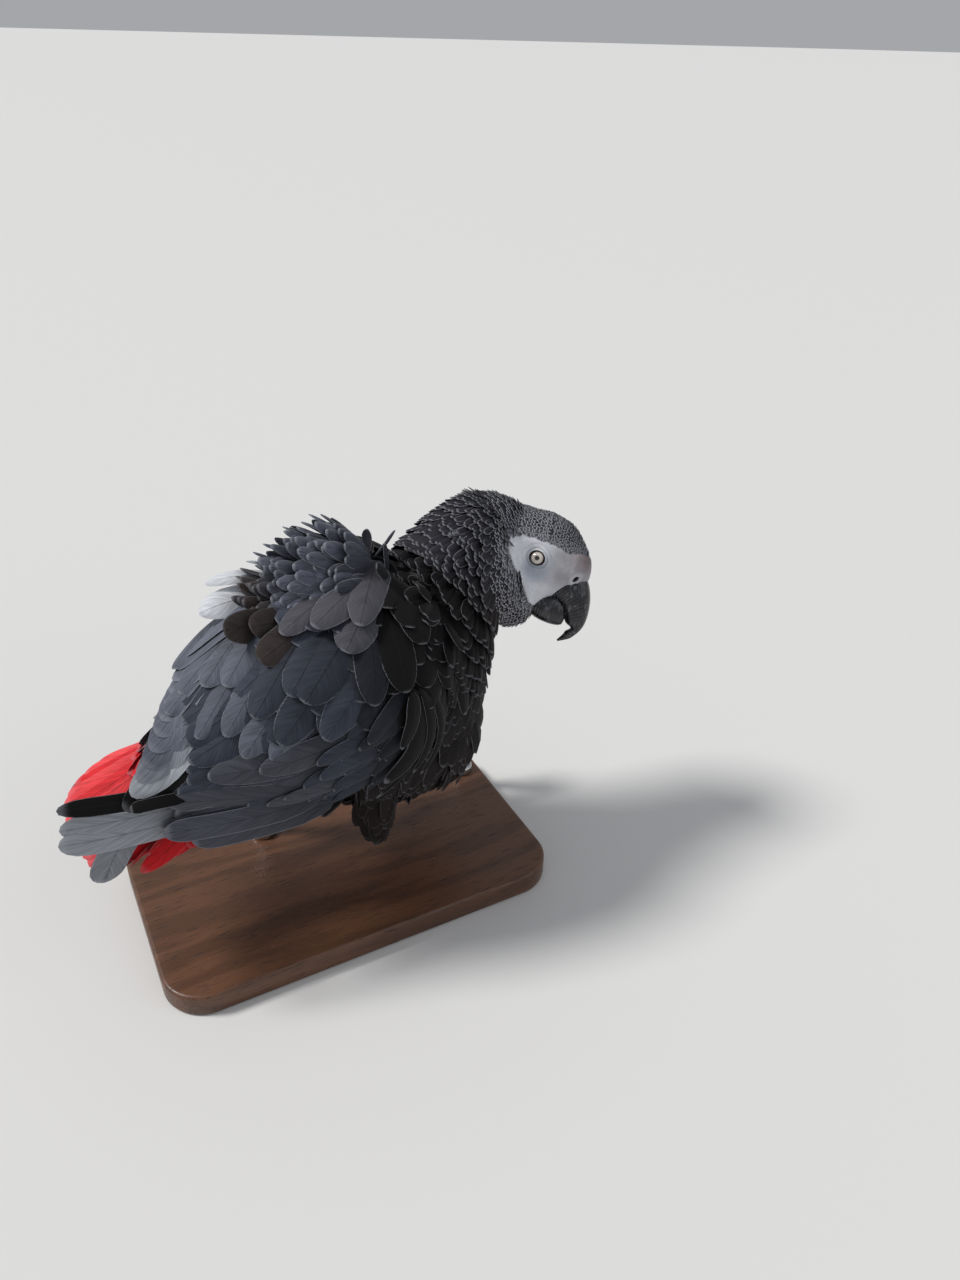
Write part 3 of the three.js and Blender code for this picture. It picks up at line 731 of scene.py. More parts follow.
# The feet hold the perch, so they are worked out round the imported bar.
perchBox = np.array([list(corner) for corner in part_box("perch")]) / mm
perchMiddle = perchBox.mean(0)
perchRadius = (perchBox[1, 2] - perchBox[0, 2]) / 2
foot = {"lean": -32, "places": {"right": 22, "left": 64}, "palm": 4.3, "shank": 3.4, "shankLength": 24,
        "gap": 0.15}
claw = {"thick": 1.95, "tip": 0.12, "turn": 80, "from": 4}
toeRows = [  # where each starts and ends along the bar, how far it turns round it, its thickness
    (-2.6, -4.8, 205, 3.0), (2.6, 5.2, 178, 2.8), (-3.2, -11.4, -138, 2.8), (3.3, 11.6, -118, 2.6),
]


# A path round the perch: reach is its distance from the bar's middle, turn runs from upright to the left.
def roundPerch(x, turn, reach):
    turn = np.radians(turn)
    y, z = perchMiddle[1] + reach * np.sin(turn), perchMiddle[2] + reach * np.cos(turn)
    return np.stack([x + 0 * turn, y, z], -1)


# Each toe is a tube round the bar with a pad under each joint and scale ridges across its back.
def toePiece(footX, start, end, turn, thick):
    t = np.linspace(0, 1, 64)
    pads, ridges = np.cos(t * 2 * np.pi * 3.5), np.sin(t * 2 * np.pi * 13)
    radius = thick * (1 - 0.28 * t) * (1 + 0.07 * pads + 0.045 * ridges)
    radius[-1] *= 0.6
    reach = perchRadius + foot["gap"] + thick * (1 - 0.28 * t)
    path = roundPerch(footX + start + (end - start) * t, foot["lean"] + turn * t, reach)
    return swept(path, radius, 16, (1, 0, 0))


# A foot is a shank that thickens up into the thigh, with rows of scales, and its four toes.
def footPieces(footX):
    t = np.linspace(0, 1, 40)
    reach = perchRadius + foot["gap"] + foot["palm"] * 0.9 + foot["shankLength"] * t
    radius = foot["shank"] * (1 + 0.3 * t + 0.35 * np.exp(-t * 9)) * (1 + 0.035 * np.sin(t * 2 * np.pi * 9))
    shank = swept(roundPerch(footX + 0 * t, foot["lean"] + 0 * t, reach), radius, 18, (1, 0, 0))
    return [shank, *[toePiece(footX, *row) for row in toeRows]]


# A claw carries on round the bar from its toe's end and tapers to a point.
def clawPiece(footX, end, turn):
    way = math.copysign(1, turn)
    t = np.linspace(0, 1, 26)
    radius = claw["thick"] * (1 - t) ** 0.75 + claw["tip"]
    reach = perchRadius + 0.4 + 2.0 * (1 - 0.6 * t) + 1.4 * t ** 2
    angle = foot["lean"] + turn - way * claw["from"] + way * claw["turn"] * t
    return swept(roundPerch(footX + end + 0 * t, angle, reach), radius, 14, (1, 0, 0))


# A folded wing lies on arcs round the body: x, height of the middle line, reach to the side and up, first and
# last degree from upright.
wingArcs = np.array([
    (54, 146, 50, 52, 60, 94), (34, 144, 61, 62, 38, 114), (6, 142, 65, 66, 30, 125),
    (-28, 138, 62, 63, 22, 130), (-56, 133, 53, 55, 10, 132), (-76, 128, 45, 47, 2, 132),
], float)
wingRun = 130  # millimetres from the first arc to the last
wings = {"right": {"side": -1, "slant": 36, "tuck": 0.0}, "left": {"side": 1, "slant": 12, "tuck": 0.72}}


# A place on a folded wing: a runs from the wrist back, b from the upper edge down, out is proud of the wing.
def wingPoint(wing, a, b, out):
    arc = through(wingArcs, a * (len(wingArcs) - 1))
    x, middle, side, rise, first, last = [arc[..., k] for k in range(6)]
    back = np.maximum(a - 1, 0) * wingRun  # past the last arc the wing runs straight back
    ahead = np.maximum(-a, 0) * wingRun  # before the first it closes in on the neck
    side, rise = side - 0.62 * ahead, rise - 0.3 * ahead
    a = np.clip(a, 0, 1.3)
    angle = np.radians(first + (last - first) * b)
    draw = 1 - wing["tuck"] * np.minimum(a, 1.1) ** 2
    return np.stack([
        x - back + ahead - wing["slant"] * b * a ** 2,
        wing["side"] * (side * draw + out) * np.sin(angle),
        middle + (rise * draw + out) * np.cos(angle) - 0.16 * back,
    ], -1)


# The way out of a folded wing: square to its steps back and down.
def wingNormal(wing, a, b, out):
    overA = wingPoint(wing, a + 0.02, b, out) - wingPoint(wing, a - 0.02, b, out)
    overB = wingPoint(wing, a, b + 0.02, out) - wingPoint(wing, a, b - 0.02, out)
    return unit(np.cross(overA, overB)) * -wing["side"]


# The arm inside a wing's feathers: a closed flat shell under the coverts.
def wingFlesh(wing):
    a, b = np.meshgrid(np.linspace(0.03, 0.86, 44), np.linspace(0.04, 0.9, 40), indexing="ij")
    outer = wingPoint(wing, a, b, -3.2 + 0 * a)
    inner = wingPoint(wing, a, b, -3.2 - skin["wingFlesh"] + 0 * a)
    return closedRings(np.concatenate([outer, inner[:, ::-1]], axis=1))


# Tubes run together by a remesh and smoothed, then the face worked finer; wing flesh and feet join as shells.
def buildSkin():
    tubes = [(trunkTube, 70, 90), (breastTube, 50, 90), (neckTube, 50, 90), (headTube, 90, 110)]
    tubes += [(tube, 24, 36) for tube in (*thighTubes.values(), underTailTube)]
    thing = makeMesh("bodySkin", *gather([closedRings(tubeRings(*tube)) for tube in tubes]))
    remesh = thing.modifiers.new("remesh", "REMESH")
    remesh.mode = "VOXEL"
    remesh.voxel_size = skin["voxel"] * mm
    smooth = thing.modifiers.new("smooth", "SMOOTH")
    smooth.iterations = skin["smoothing"]
    applyModifiers(thing)
    refineFace(thing)
    thing.data.shade_smooth()
    sculptFace(thing)
    colourPoints(thing, "tint", skinTint(pointsOf(thing)))
    flesh = makeMesh("wingFlesh", *gather([wingFlesh(wing) for wing in wings.values()]))
    # painted shade: the wing flesh under the coverts is a darker tone of the ground
    fleshShade = groundColour(pointsOf(flesh)) * 0.4
    colourPoints(flesh, "tint", np.column_stack([fleshShade, np.zeros(len(fleshShade))]))
    feet = makeMesh("feet", *gather([piece for x in foot["places"].values() for piece in footPieces(x)]))
    colourPoints(feet, "tint", np.zeros((len(feet.data.vertices), 4)))
    for piece in (flesh, feet):
        piece.data.materials.append(materials["skin"])
    thing.data.materials.append(materials["skin"])
    feet.data.materials.append(materials["foot"])
    feet.data.polygons.foreach_set("material_index", np.ones(len(feet.data.polygons), np.int32))
    with bpy.context.temp_override(active_object=thing, selected_editable_objects=[thing, flesh, feet]):
        bpy.ops.object.join()
    return thing


def finishSkin(thing):
    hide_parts("trunk", "neck", "head", "thigh_right", "thigh_left", "leg_right", "leg_left")
    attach(thing, "root")
    print(f"skin: {len(thing.data.polygons)} faces")


finishSkin(buildSkin())
for side, footX in foot["places"].items():
    claws = makeMesh(f"claws_{side}", *gather([clawPiece(footX, *row[1:3]) for row in toeRows]))
    finish(claws, materials["claw"], "claw", *[f"claw_{side}_{k}" for k in (1, 2, 3, 4)])


# Each eye is a ball with the clear cornea as a low swelling at its middle.
def eyePiece(side):
    polar = np.linspace(0.02, np.pi - 0.02, 48)[:, None]
    turn = np.linspace(0, 2 * np.pi, 64, endpoint=False)[None]
    radius = eyeSize["radius"] + 0.28 * np.exp(-(polar / 0.5) ** 2)
    height, girth = radius * np.cos(polar) + 0 * turn, radius * np.sin(polar)
    rings = np.stack([girth * np.cos(turn), side * height, girth * np.sin(turn)], -1)
    return closedRings(fromHead(rings + (0, side * eyeSize["side"], 0)))


for name, side in (("right", -1), ("left", 1)):
    centre = fromHead((0, side * eyeSize["side"], 0))
    eye = makeMesh(f"eye_{name}_ball", *eyePiece(side))
    finish(eye, eyeMaterial(f"eye_{name}", centre, headLeft), "eye", f"eye_{name}")

maxilla = [  # outer edge forward and up, inner edge forward and up, half the width
    (22, 0, 8, -16, 8.2), (27, -2.6, 13.5, -20, 8.5), (31.2, -7.2, 18, -22.4, 8.1),
    (34.4, -15.5, 21, -26.2, 7.2), (35.4, -25, 23.7, -30.4, 5.9), (34.1, -32.4, 25.3, -34, 4.3),
    (30, -38.6, 25.2, -36.8, 2.7), (26.2, -41.2, 24, -39.4, 1.5), (22.9, -42.8, 22.4, -41.8, 0.5),
]
mandible = [
    (-1, -27, 0, -20, 6.5), (4, -31.6, 4, -20, 8.3), (9, -33.6, 9.5, -18.5, 8.7),
    (15, -34.4, 16, -17.5, 8.1), (19.6, -34.2, 21.4, -20.5, 6.5), (22.2, -33.2, 23.2, -26, 4.6),
    (22.9, -31.8, 23.3, -28.5, 2.6),
]


# Rings that run from the outer edge, down each side and back under to the inner edge. The keel sharpens the
# outer edge, and the cutting edge is drawn in at the notch where the two halves meet.
def billPiece(sections, keel, notch):
    rows = 110
    u = np.linspace(0, len(sections) - 1, rows)
    row = through(sections, u)
    turn = np.linspace(0, 2 * np.pi, 64, endpoint=False)
    depth = (1 - np.cos(turn)) / 2
    width = np.sign(np.sin(turn)) * np.abs(np.sin(turn)) ** keel
    outer = np.column_stack([row[:, 0], np.zeros(rows), row[:, 1]])
    inner = np.column_stack([row[:, 2], np.zeros(rows), row[:, 3]])
    inner = inner + (outer - inner) * (notch * np.exp(-((u - 5.0) / 0.45) ** 2))[:, None]
    ring = outer[:, None] + (inner - outer)[:, None] * depth[:, None]
    ring[..., 1] = row[:, 4:5] * width * (1 + 0.012 * np.sin(u * 23)[:, None] * np.abs(np.sin(turn)))
    return closedRings(fromHead(ring))


upper = makeMesh("bill_upper_horn", *billPiece(maxilla, keel=0.72, notch=0.28))
finish(upper, materials["bill"], "bill", "bill_upper")
lower = makeMesh("bill_lower_horn", *billPiece(mandible, keel=0.8, notch=0.0))
finish(lower, materials["bill"], "bill", "bill_lower")
print("head pieces ready")


# A vane is a thin closed lens round its shaft. Its half width starts narrow at the root, is full from
# the widest place on, and rounds off to nothing at the tip.
def vaneWidth(t, root, widest, roundFrom):
    swell = root + (1 - root) * easy(t, 0.0, widest)
    past = np.clip((t - roundFrom) / (1 - roundFrom), 0, 1)
    return swell * np.sqrt(1 - past ** 2)


# Faces of one vane: rings of 2 * across - 2 points between a root point and a tip point.
def vaneFaces(rings, across):
    count = 2 * across - 2
    step = np.arange(count)
    ahead = (step + 1) % count
    row = 1 + np.arange(rings - 1)[:, None] * count
    quads = np.stack([row + step, row + count + step, row + count + ahead, row + ahead], -1).reshape(-1, 4)
    end = 1 + (rings - 1) * count
    low = np.stack([0 * step, 1 + step, 1 + ahead], -1)
    high = np.stack([np.full(count, 1 + rings * count), end + ahead, end + step], -1)
    return quads, np.concatenate([low, high])


bakePatch = 0.003  # how large each feather's patch is on the OFBake map


# Many vanes as one mesh. For each of n vanes and m places along it: shaft point, sideways way, facing way,
# and the half width. sag drops the edges, thick is the height of the lens at the shaft.
def makeVanes(name, vanes, across=3):
    shaft, sideways, facing = vanes["shaft"], vanes["side"], vanes["facing"]
    count, places = shaft.shape[:2]
    s = np.concatenate([np.linspace(-1, 1, across), np.linspace(1, -1, across)[1:-1]])
    top = np.concatenate([np.ones(across), -np.ones(across - 2)])
    half = vanes["half"][:, 1:-1, None]
    sag = vanes["sag"][:, None, None] * half / np.maximum(vanes["half"].max(1)[:, None, None], 1e-6)
    lens = vanes["thick"][:, None, None] * np.where(top > 0, 0.5, -0.5) * np.sqrt(np.maximum(1 - s ** 2, 0))
    body = shaft[:, 1:-1, None] + sideways[:, 1:-1, None] * (s * half)[..., None]
    body = body + facing[:, 1:-1, None] * (lens - sag * s ** 2)[..., None]
    points = np.concatenate([shaft[:, :1], body.reshape(count, -1, 3), shaft[:, -1:]], axis=1)
    quads, tris = vaneFaces(places - 2, across)
    each = points.shape[1]
    offset = (np.arange(count) * each)[:, None, None]
    allQuads, allTris = (quads + offset).reshape(-1, 4), (tris + offset).reshape(-1, 3)
    thing = makeMesh(name, points.reshape(-1, 3), allQuads, allTris, sharp=55)

    t = vanes["t"]
    ringAcross = np.broadcast_to((s + 1) / 2, (places - 2, len(s))).ravel()
    ringAlong = np.repeat(t[1:-1], len(s))
    vane = np.column_stack([np.r_[0.5, ringAcross, 0.5], np.r_[t[0], ringAlong, t[-1]]])
    mapFaces(thing, "vane", np.tile(vane, (count, 1)))
    patch = vanes["unwrap"][:, None] + (vane - 0.5) * bakePatch
    mapFaces(thing, "OFBake", patch.reshape(-1, 2))
    tint = np.column_stack([vanes["tint"], vanes["pale"]])
    colourPoints(thing, "tint", np.repeat(tint, each, axis=0))
    data = np.column_stack([vanes["rim"], vanes["length"], vanes["chance"]])
    layer = thing.data.attributes.new("vaneData", "FLOAT_VECTOR", "POINT")
    layer.data.foreach_set("vector", np.repeat(data, each, axis=0).astype(np.float32).ravel())
    return thing


# One value for each vane.
def spread(value, count):
    return np.broadcast_to(np.asarray(value, float), (count,)).copy()


# What makeVanes needs: the shafts and the ways across and out at the places t, half widths, how deep and
# thick each vane is, and what its colour reads.
def vaneSet(shaft, side, facing, t, half, sag, thick, unwrap, tint, look, length):
    count = len(shaft)
    return dict(
        shaft=shaft, side=side, facing=facing, t=t, half=half, sag=sag, thick=spread(thick, count),
        unwrap=unwrap, tint=tint, pale=spread(look["pale"], count), rim=spread(look["rim"], count),
        length=length, chance=rng.uniform(0, 1, count))


# Two ways turned together about the line square to both.
def turned(first, second, angle):
    cos, sin = np.cos(angle), np.sin(angle)
    return first * cos + second * sin, second * cos - first * sin


# Which way the coat lies: backwards from the bill, down the breast, back along the belly.
# Each guide is a place and a way; a point follows the guides near it.
lieGuides = np.array([
    (*fromHead((26, 0, 0)), *-headForward), (*fromHead((8, 0, 0)), *-headForward),
    (*fromHead((-12, 0, 0)), *-(headForward * 0.8 + np.array((0.3, 0.1, 0.25)))),
    (104, 10, 205, -0.75, 0.1, -0.3), (100, 0, 160, -0.5, 0.0, -0.85), (84, 4, 212, -0.9, 0.0, -0.45),
    (80, 0, 140, -0.25, 0.0, -1.0), (84, -10, 104, -0.2, 0.0, -1.0), (72, 0, 90, -0.35, 0.0, -0.9),
    (50, 0, 76, -0.8, 0.0, -0.6), (40, -40, 172, -0.8, 0.0, -0.6), (40, 40, 172, -0.8, 0.0, -0.6),
    (64, -36, 150, -0.6, 0.0, -0.8), (64, 36, 150, -0.6, 0.0, -0.8), (40, 0, 215, -1.0, 0.0, 0.1),
    (16, -30, 82, -0.1, 0.0, -1.0), (46, 10, 76, -0.1, 0.0, -1.0), (20, 0, 70, -1.0, 0.0, -0.1),
    (10, 0, 150, -1.0, 0.0, -0.1), (-30, 0, 110, -1.0, 0.0, 0.1), (-30, 0, 165, -1.0, 0.0, -0.3),
    (-80, 0, 125, -1.0, 0.0, -0.15),
])


# Each guide counts as one over its squared distance, cubed; the way is then laid flat on the surface.
def lieAt(points, normals):
    away = lengthOf(points[:, None] - lieGuides[:, :3])
    weight = 1 / (away ** 2 + 60) ** 3
    way = (weight[..., None] * unit(lieGuides[:, 3:])).sum(1) / weight.sum(1)[:, None]
    way = way - normals * (way * normals).sum(-1)[:, None]
    return unit(way)


# Rows of roots on a tube: rows stand rowGap apart along it and roots sideGap apart round it, each row
# shifted by half a step, between two ring numbers and two angles in degrees.
def rootRows(tube, rings, angles, rowGap, sideGap):
    fine = np.linspace(*rings, 160)
    marks = np.radians(np.linspace(*angles, 7))
    lines = tubePoint(tube, fine[:, None] + 0 * marks, marks + 0 * fine[:, None])
    travelled = np.r_[0, np.cumsum(lengthOf(np.diff(lines, axis=0)).mean(1))]
    rows = np.interp(np.arange(0.5, travelled[-1] / rowGap) * rowGap, travelled, fine)
    allU, allAngle = [], []
    for k, u in enumerate(rows):
        angle = np.radians(np.linspace(*angles, 120))
        ring = tubePoint(tube, u + 0 * angle, angle)
        girth = np.r_[0, np.cumsum(lengthOf(np.diff(ring, axis=0)))]
        count = max(int(girth[-1] / sideGap), 2)
        places = (np.arange(count) + 0.25 + 0.5 * (k % 2)) / count * girth[-1]
        allAngle.append(np.interp(places, girth, angle))
        allU.append(np.full(count, u))
    return np.concatenate(allU), np.concatenate(allAngle)


# Small feathers that rise from their roots and curve back down. Sizes are in millimetres, lift and bend in
# degrees: lift is the slope at the root and bend how much of it is gone at the tip.
def plumes(root, normal, lie, unwrap, tint, look):
    count = len(root)
    t = np.array(look.get("places", (0, 0.2, 0.45, 0.68, 0.86, 0.96, 1)))
    length = spread(look["length"], count) * (1 + look.get("vary", 0.12) * rng.uniform(-1, 1, count))
    width = spread(look["width"], count) * (1 + 0.1 * rng.uniform(-1, 1, count))
    loose = look.get("loose", 6)
    lift = np.radians(spread(look["lift"], count) + loose * rng.normal(0, 0.5, count))
    bend = np.radians(spread(look["bend"], count))
    swing = np.radians(loose * rng.normal(0, 0.8, count))[:, None]
    across = np.cross(normal, lie)
    lie = lie * np.cos(swing) + across * np.sin(swing)
    roll = np.radians(look.get("roll", 5) * rng.normal(0, 1, count))[:, None]
    across = np.cross(normal, lie) * np.cos(roll) + normal * np.sin(roll)
    normal = unit(np.cross(lie, across))
    slope = lift[:, None] - bend[:, None] * t
    steps = np.diff(t) * length[:, None]
    run = np.cumsum(steps * (np.cos(slope[:, 1:]) + np.cos(slope[:, :-1])) / 2, axis=1)
    rise = np.cumsum(steps * (np.sin(slope[:, 1:]) + np.sin(slope[:, :-1])) / 2, axis=1)
    run, rise = [np.concatenate([np.zeros((count, 1)), sums], axis=1)[..., None] for sums in (run, rise)]
    shaft = (root - normal * look.get("sink", 0.4))[:, None] + lie[:, None] * run + normal[:, None] * rise
    facing = normal[:, None] * np.cos(slope)[..., None] - lie[:, None] * np.sin(slope)[..., None]
    half = width[:, None] / 2 * vaneWidth(t, 0.35, 0.42, look.get("roundFrom", 0.55))
    half = half * (1 + look.get("ragged", 0.04) * rng.normal(0, 1, half.shape))
    side = np.repeat(across[:, None], len(t), axis=1)
    twist = np.radians(spread(look.get("twist", 0), count))[:, None, None]  # turned about the shaft
    side, facing = turned(side, facing, twist)
    tint = tint * (1 + look.get("mottle", 0.1) * rng.normal(0, 1, (count, 1))).clip(0.6, 1.5)
    sag, thick = width * look.get("cup", 0.1), look.get("thick", 0.14)
    return vaneSet(shaft, side, facing, t, half, sag, thick, unwrap, tint, look, length)


# Several sets of vanes as one.
def together(*groups):
    return {key: groups[0][key] if key == "t" else np.concatenate([group[key] for group in groups])
            for key in groups[0]}


bareFace = {"behind": -22, "reach": 46}  # where the face's outline counts, from the middle of the head


# Feathers on a stretch of a tube. Roots inside another tube or on the bare face are left out. shape may
# change the look by place: it gets the points, ring numbers and angles.
def coatTube(tube, rings, angles, look, others, shape=None):
    u, angle = rootRows(tube, rings, angles, look["rowGap"], look["sideGap"])
    u = u + rng.normal(0, look.get("scatter", 0.03), len(u))
    angle = angle + rng.normal(0, 0.012, len(u))
    points = tubePoint(tube, u, angle)
    free = np.ones(len(points), bool)
    for other in others:
        free &= ~insideTube(other, points)
    head = toHead(points)
    face = insideFace(head[:, 0], head[:, 2])
    onFace = (head[:, 0] > bareFace["behind"]) & (lengthOf(head) < bareFace["reach"])
    free &= ~((face > look.get("faceEdge", 0.0)) & onFace)
    reach = look.get("reach", (0, 900))  # least and most distance from the middle of the head
    away = lengthOf(head) + rng.normal(0, 0.8, len(head))
    free &= (away > reach[0]) & (away < reach[1])
    u, angle, points = u[free], angle[free], points[free]
    normal = tubeNormal(tube, u, angle)
    unwrap = np.column_stack([u / tube["last"], (angle / (2 * np.pi)) % 1]) * 0.96 + 0.02
    look = dict(look)
    if shape:
        look.update(shape(points, u, np.degrees(angle) % 360))
    return plumes(points, normal, lieAt(points, normal), unwrap, groundColour(points), look)


# The looks of the coat's parts. Gaps, length and width are in millimetres; lift, bend, loose and roll in
# degrees. pale and rim are how pale and how wide a feather's edge is, faceEdge how far roots reach over the
# bare face. What a part lacks here comes from its shape function.
scales = dict(pale=1.0, loose=2, mottle=0.05, ragged=0.01, roll=1, sink=0.2, thick=0.12)
down = dict(ragged=0.04, loose=7, roundFrom=0.4, cup=0.16, rim=0.18)
coats = {
    "face": dict(scales, rowGap=1.55, sideGap=1.7, lift=17, bend=12, rim=0.36, thick=0.1, roundFrom=0.4,
                 faceEdge=0.9),
    "brow": dict(scales, rowGap=1.95, sideGap=2.0, length=4.4, width=2.7, lift=20, bend=12, rim=0.38,
                 roundFrom=0.42, faceEdge=0.9),
    "crown": dict(scales, rowGap=2.2, sideGap=2.1, bend=10, rim=0.36, roll=2, mottle=0.06, ragged=0.02,
                  sink=0.3, roundFrom=0.4, faceEdge=0.4),
    "nape": dict(rowGap=2.2, sideGap=2.1, bend=12, rim=0.34, loose=3, roll=2, mottle=0.08, ragged=0.02,
                 roundFrom=0.45, cup=0.15, faceEdge=0.8, reach=(0, 45)),
    "neck": dict(loose=2.5, roll=2, mottle=0.08, ragged=0.015, roundFrom=0.6, cup=0.2, vary=0.07, thick=0.2,
                 reach=(44, 900), places=(0, 0.15, 0.35, 0.55, 0.72, 0.86, 0.95, 0.99, 1)),
    "collar": dict(rowGap=6.5, sideGap=4.2, length=25, width=13, lift=30, bend=26, pale=0.3, rim=0.09,
                   loose=5, roll=4, ragged=0.02, roundFrom=0.5, cup=0.18, thick=0.4,
                   places=(0, 0.15, 0.3, 0.45, 0.6, 0.75, 0.87, 0.95, 0.99, 1)),
    "mantle": dict(rowGap=5.4, sideGap=3.3, scatter=0.11, rim=0.1, loose=4, roll=3, ragged=0.015,
                   roundFrom=0.66, cup=0.16, thick=0.45, mottle=0.12,
                   places=(0, 0.15, 0.3, 0.45, 0.58, 0.7, 0.8, 0.88, 0.95, 0.99, 1)),
    "back": dict(rowGap=6, sideGap=8, length=24, width=14, lift=14, bend=10, pale=0.2, rim=0.12,
                 ragged=0.04, roundFrom=0.45),
    "breast": dict(down, rowGap=4.4, sideGap=5.4, pale=0.2, ragged=0.03, loose=5),
    "belly": dict(down, rowGap=4.6, sideGap=6, length=17, width=11, lift=20, bend=24, pale=0.1),
    "thigh": dict(down, rowGap=6.5, sideGap=6.5, length=22, width=12, lift=8, bend=8, pale=0.06),
    "underTail": dict(rowGap=5, sideGap=5.5, length=20, width=10, lift=8, bend=8, pale=0.25, rim=0.2,
                      ragged=0.04),
}


# On the head the feathers grow longer and wider from the bill back.
def faceShape(points, u, angle):
    grown = easy(toHead(points)[:, 0], 24, -14)
    return dict(length=3.0 + 1.6 * grown, width=2.1 + 0.6 * grown)


# The crown's feathers go on growing and lose their pale edges towards the nape.
def crownShape(points, u, angle):
    grown = easy(toHead(points)[:, 0], -8, -34)
    return dict(length=4.6 + 3 * grown, width=2.8 + 0.5 * grown, lift=16 + 6 * grown, pale=0.9 - 0.3 * grown)


neckRings = [(0.1, 1.3, 7.2, 3.2), (1.3, 2.0, 4.2, 2.4), (2.0, 4.2, 2.9, 1.7)]  # from, to, row gap, side gap


# Neck feathers stand in rings with raised blunt tips. They grow longer, wider and darker down to the hood.
def neckShape(points, u, angle):
    rings = (0.3, 1.2, 2.1, 3.1)
    top = easy(np.abs(angle - 90), 60, 20) * easy(u, 1.0, 2.0)  # flatter along the nape
    low = easy(u, 1.6, 0.8)
    crest = easy(np.abs(angle - 90), 65, 35) * low
    return dict(
        length=np.interp(u, rings, (22, 16, 11, 9)) - 9 * crest, width=np.interp(u, rings, (13, 8, 3.8, 3.0)),
        lift=46 - 32 * top + 14 * low, bend=18 - 14 * top + 14 * low,
        pale=np.interp(u, rings, (0.2, 0.3, 0.48, 0.65)), rim=np.interp(u, rings, (0.12, 0.15, 0.22, 0.28)))


# Breast feathers grow longer and stand looser towards the belly.
def breastShape(points, u, angle):
    low = easy(points[:, 2], 132, 100)
    return dict(length=15 + 10 * low, width=9.5 + 3.5 * low, lift=24 + 18 * low, bend=34 + 26 * low)


# The nape's small scales grow into the neck's, and rise where they don't meet the crown.
def napeShape(points, u, angle):
    grown = easy(toHead(points)[:, 0], -24, -36)
    return dict(length=5.0 + 3.0 * grown, width=3.0 + 0.8 * grown, pale=1 - 0.25 * grown,
                lift=18 + 12 * grown * easy(points[:, 2], 216, 206))


# The ruffled ridge across the shoulders stands upright in rows whose tips curl back. It drops to a notch
# before the neck.
def mantleShape(points, u, angle):
    ridge = easy(u, 5.75, 5.0)
    rear = easy(u, 4.7, 3.4)
    low = easy(np.abs(angle - 84), 16, 32)
    far = easy(angle, 78, 64)
    laid = easy(angle, 98, 112)
    return dict(
        lift=60 + 20 * ridge + 26 * rear - 34 * laid, bend=26 + 20 * ridge, width=7.4 + 1.6 * ridge,
        length=17 + (17 - 9 * low) * ridge - 3 * rear - 9 * far + 4 * laid, pale=0.5 - 0.2 * rear,
        twist=34 * easy(angle, 78, 68) - 34 * easy(angle, 78, 88))


# Sets of vanes joined as one named piece with the feather's finish.
def finishCoat(name, *vanes, across=3, slotName="plumage", nodes=()):
    finish(makeVanes(name, together(*vanes), across), materials["feather"], slotName, *nodes)


def buildCoats():
    neckAndHead = (neckTube, headTube)
    whole = (0, 360)
    fine = coatTube(headTube, (5.0, 9.3), whole, coats["face"], (neckTube,), faceShape)
    brow = coatTube(headTube, (2.9, 5.5), whole, coats["brow"], (neckTube,))
    finishCoat("face_coat", fine, brow)
    crown = coatTube(headTube, (0.5, 2.9), whole, coats["crown"], (neckTube,), crownShape)
    finishCoat("crown_coat", crown)
    neck = [coatTube(neckTube, (first, last), whole, dict(coats["neck"], rowGap=rowGap, sideGap=sideGap),
                     (headTube, trunkTube), neckShape) for first, last, rowGap, sideGap in neckRings]
    finishCoat("neck_base_coat", *neck[:2], across=5)
    finishCoat("neck_coat", neck[2])
    sides = ((122, 215), (-35, 58))
    collar = [coatTube(collarTube, (0.4, 2.6), angles, coats["collar"], (neckTube,)) for angles in sides]
    finishCoat("hood_coat", *collar, across=7)
    finishCoat("nape_coat", coatTube(neckTube, (0.5, 4.8), whole, coats["nape"], (headTube,), napeShape))
    mantle = coatTube(trunkTube, (3.1, 5.85), (50, 118), coats["mantle"], (), mantleShape)
    finishCoat("mantle_coat", mantle, across=7)
    finishCoat("back_coat", coatTube(trunkTube, (0.1, 3.4), (4, 176), coats["back"], ()), across=5)
    others = (*neckAndHead, trunkTube)
    breast = coatTube(breastTube, (0.9, 4.6), (170, 370), coats["breast"], others, breastShape)
    others = (*neckAndHead, breastTube)
    belly = coatTube(trunkTube, (0.1, 6.5), (175, 365), coats["belly"], others)
    finishCoat("breast_and_belly_coat", breast, belly)
    thighs = [coatTube(tube, (0, 2), whole, coats["thigh"], ()) for tube in thighTubes.values()]
    finishCoat("thigh_coat", *thighs)


buildCoats()
print("coat ready")


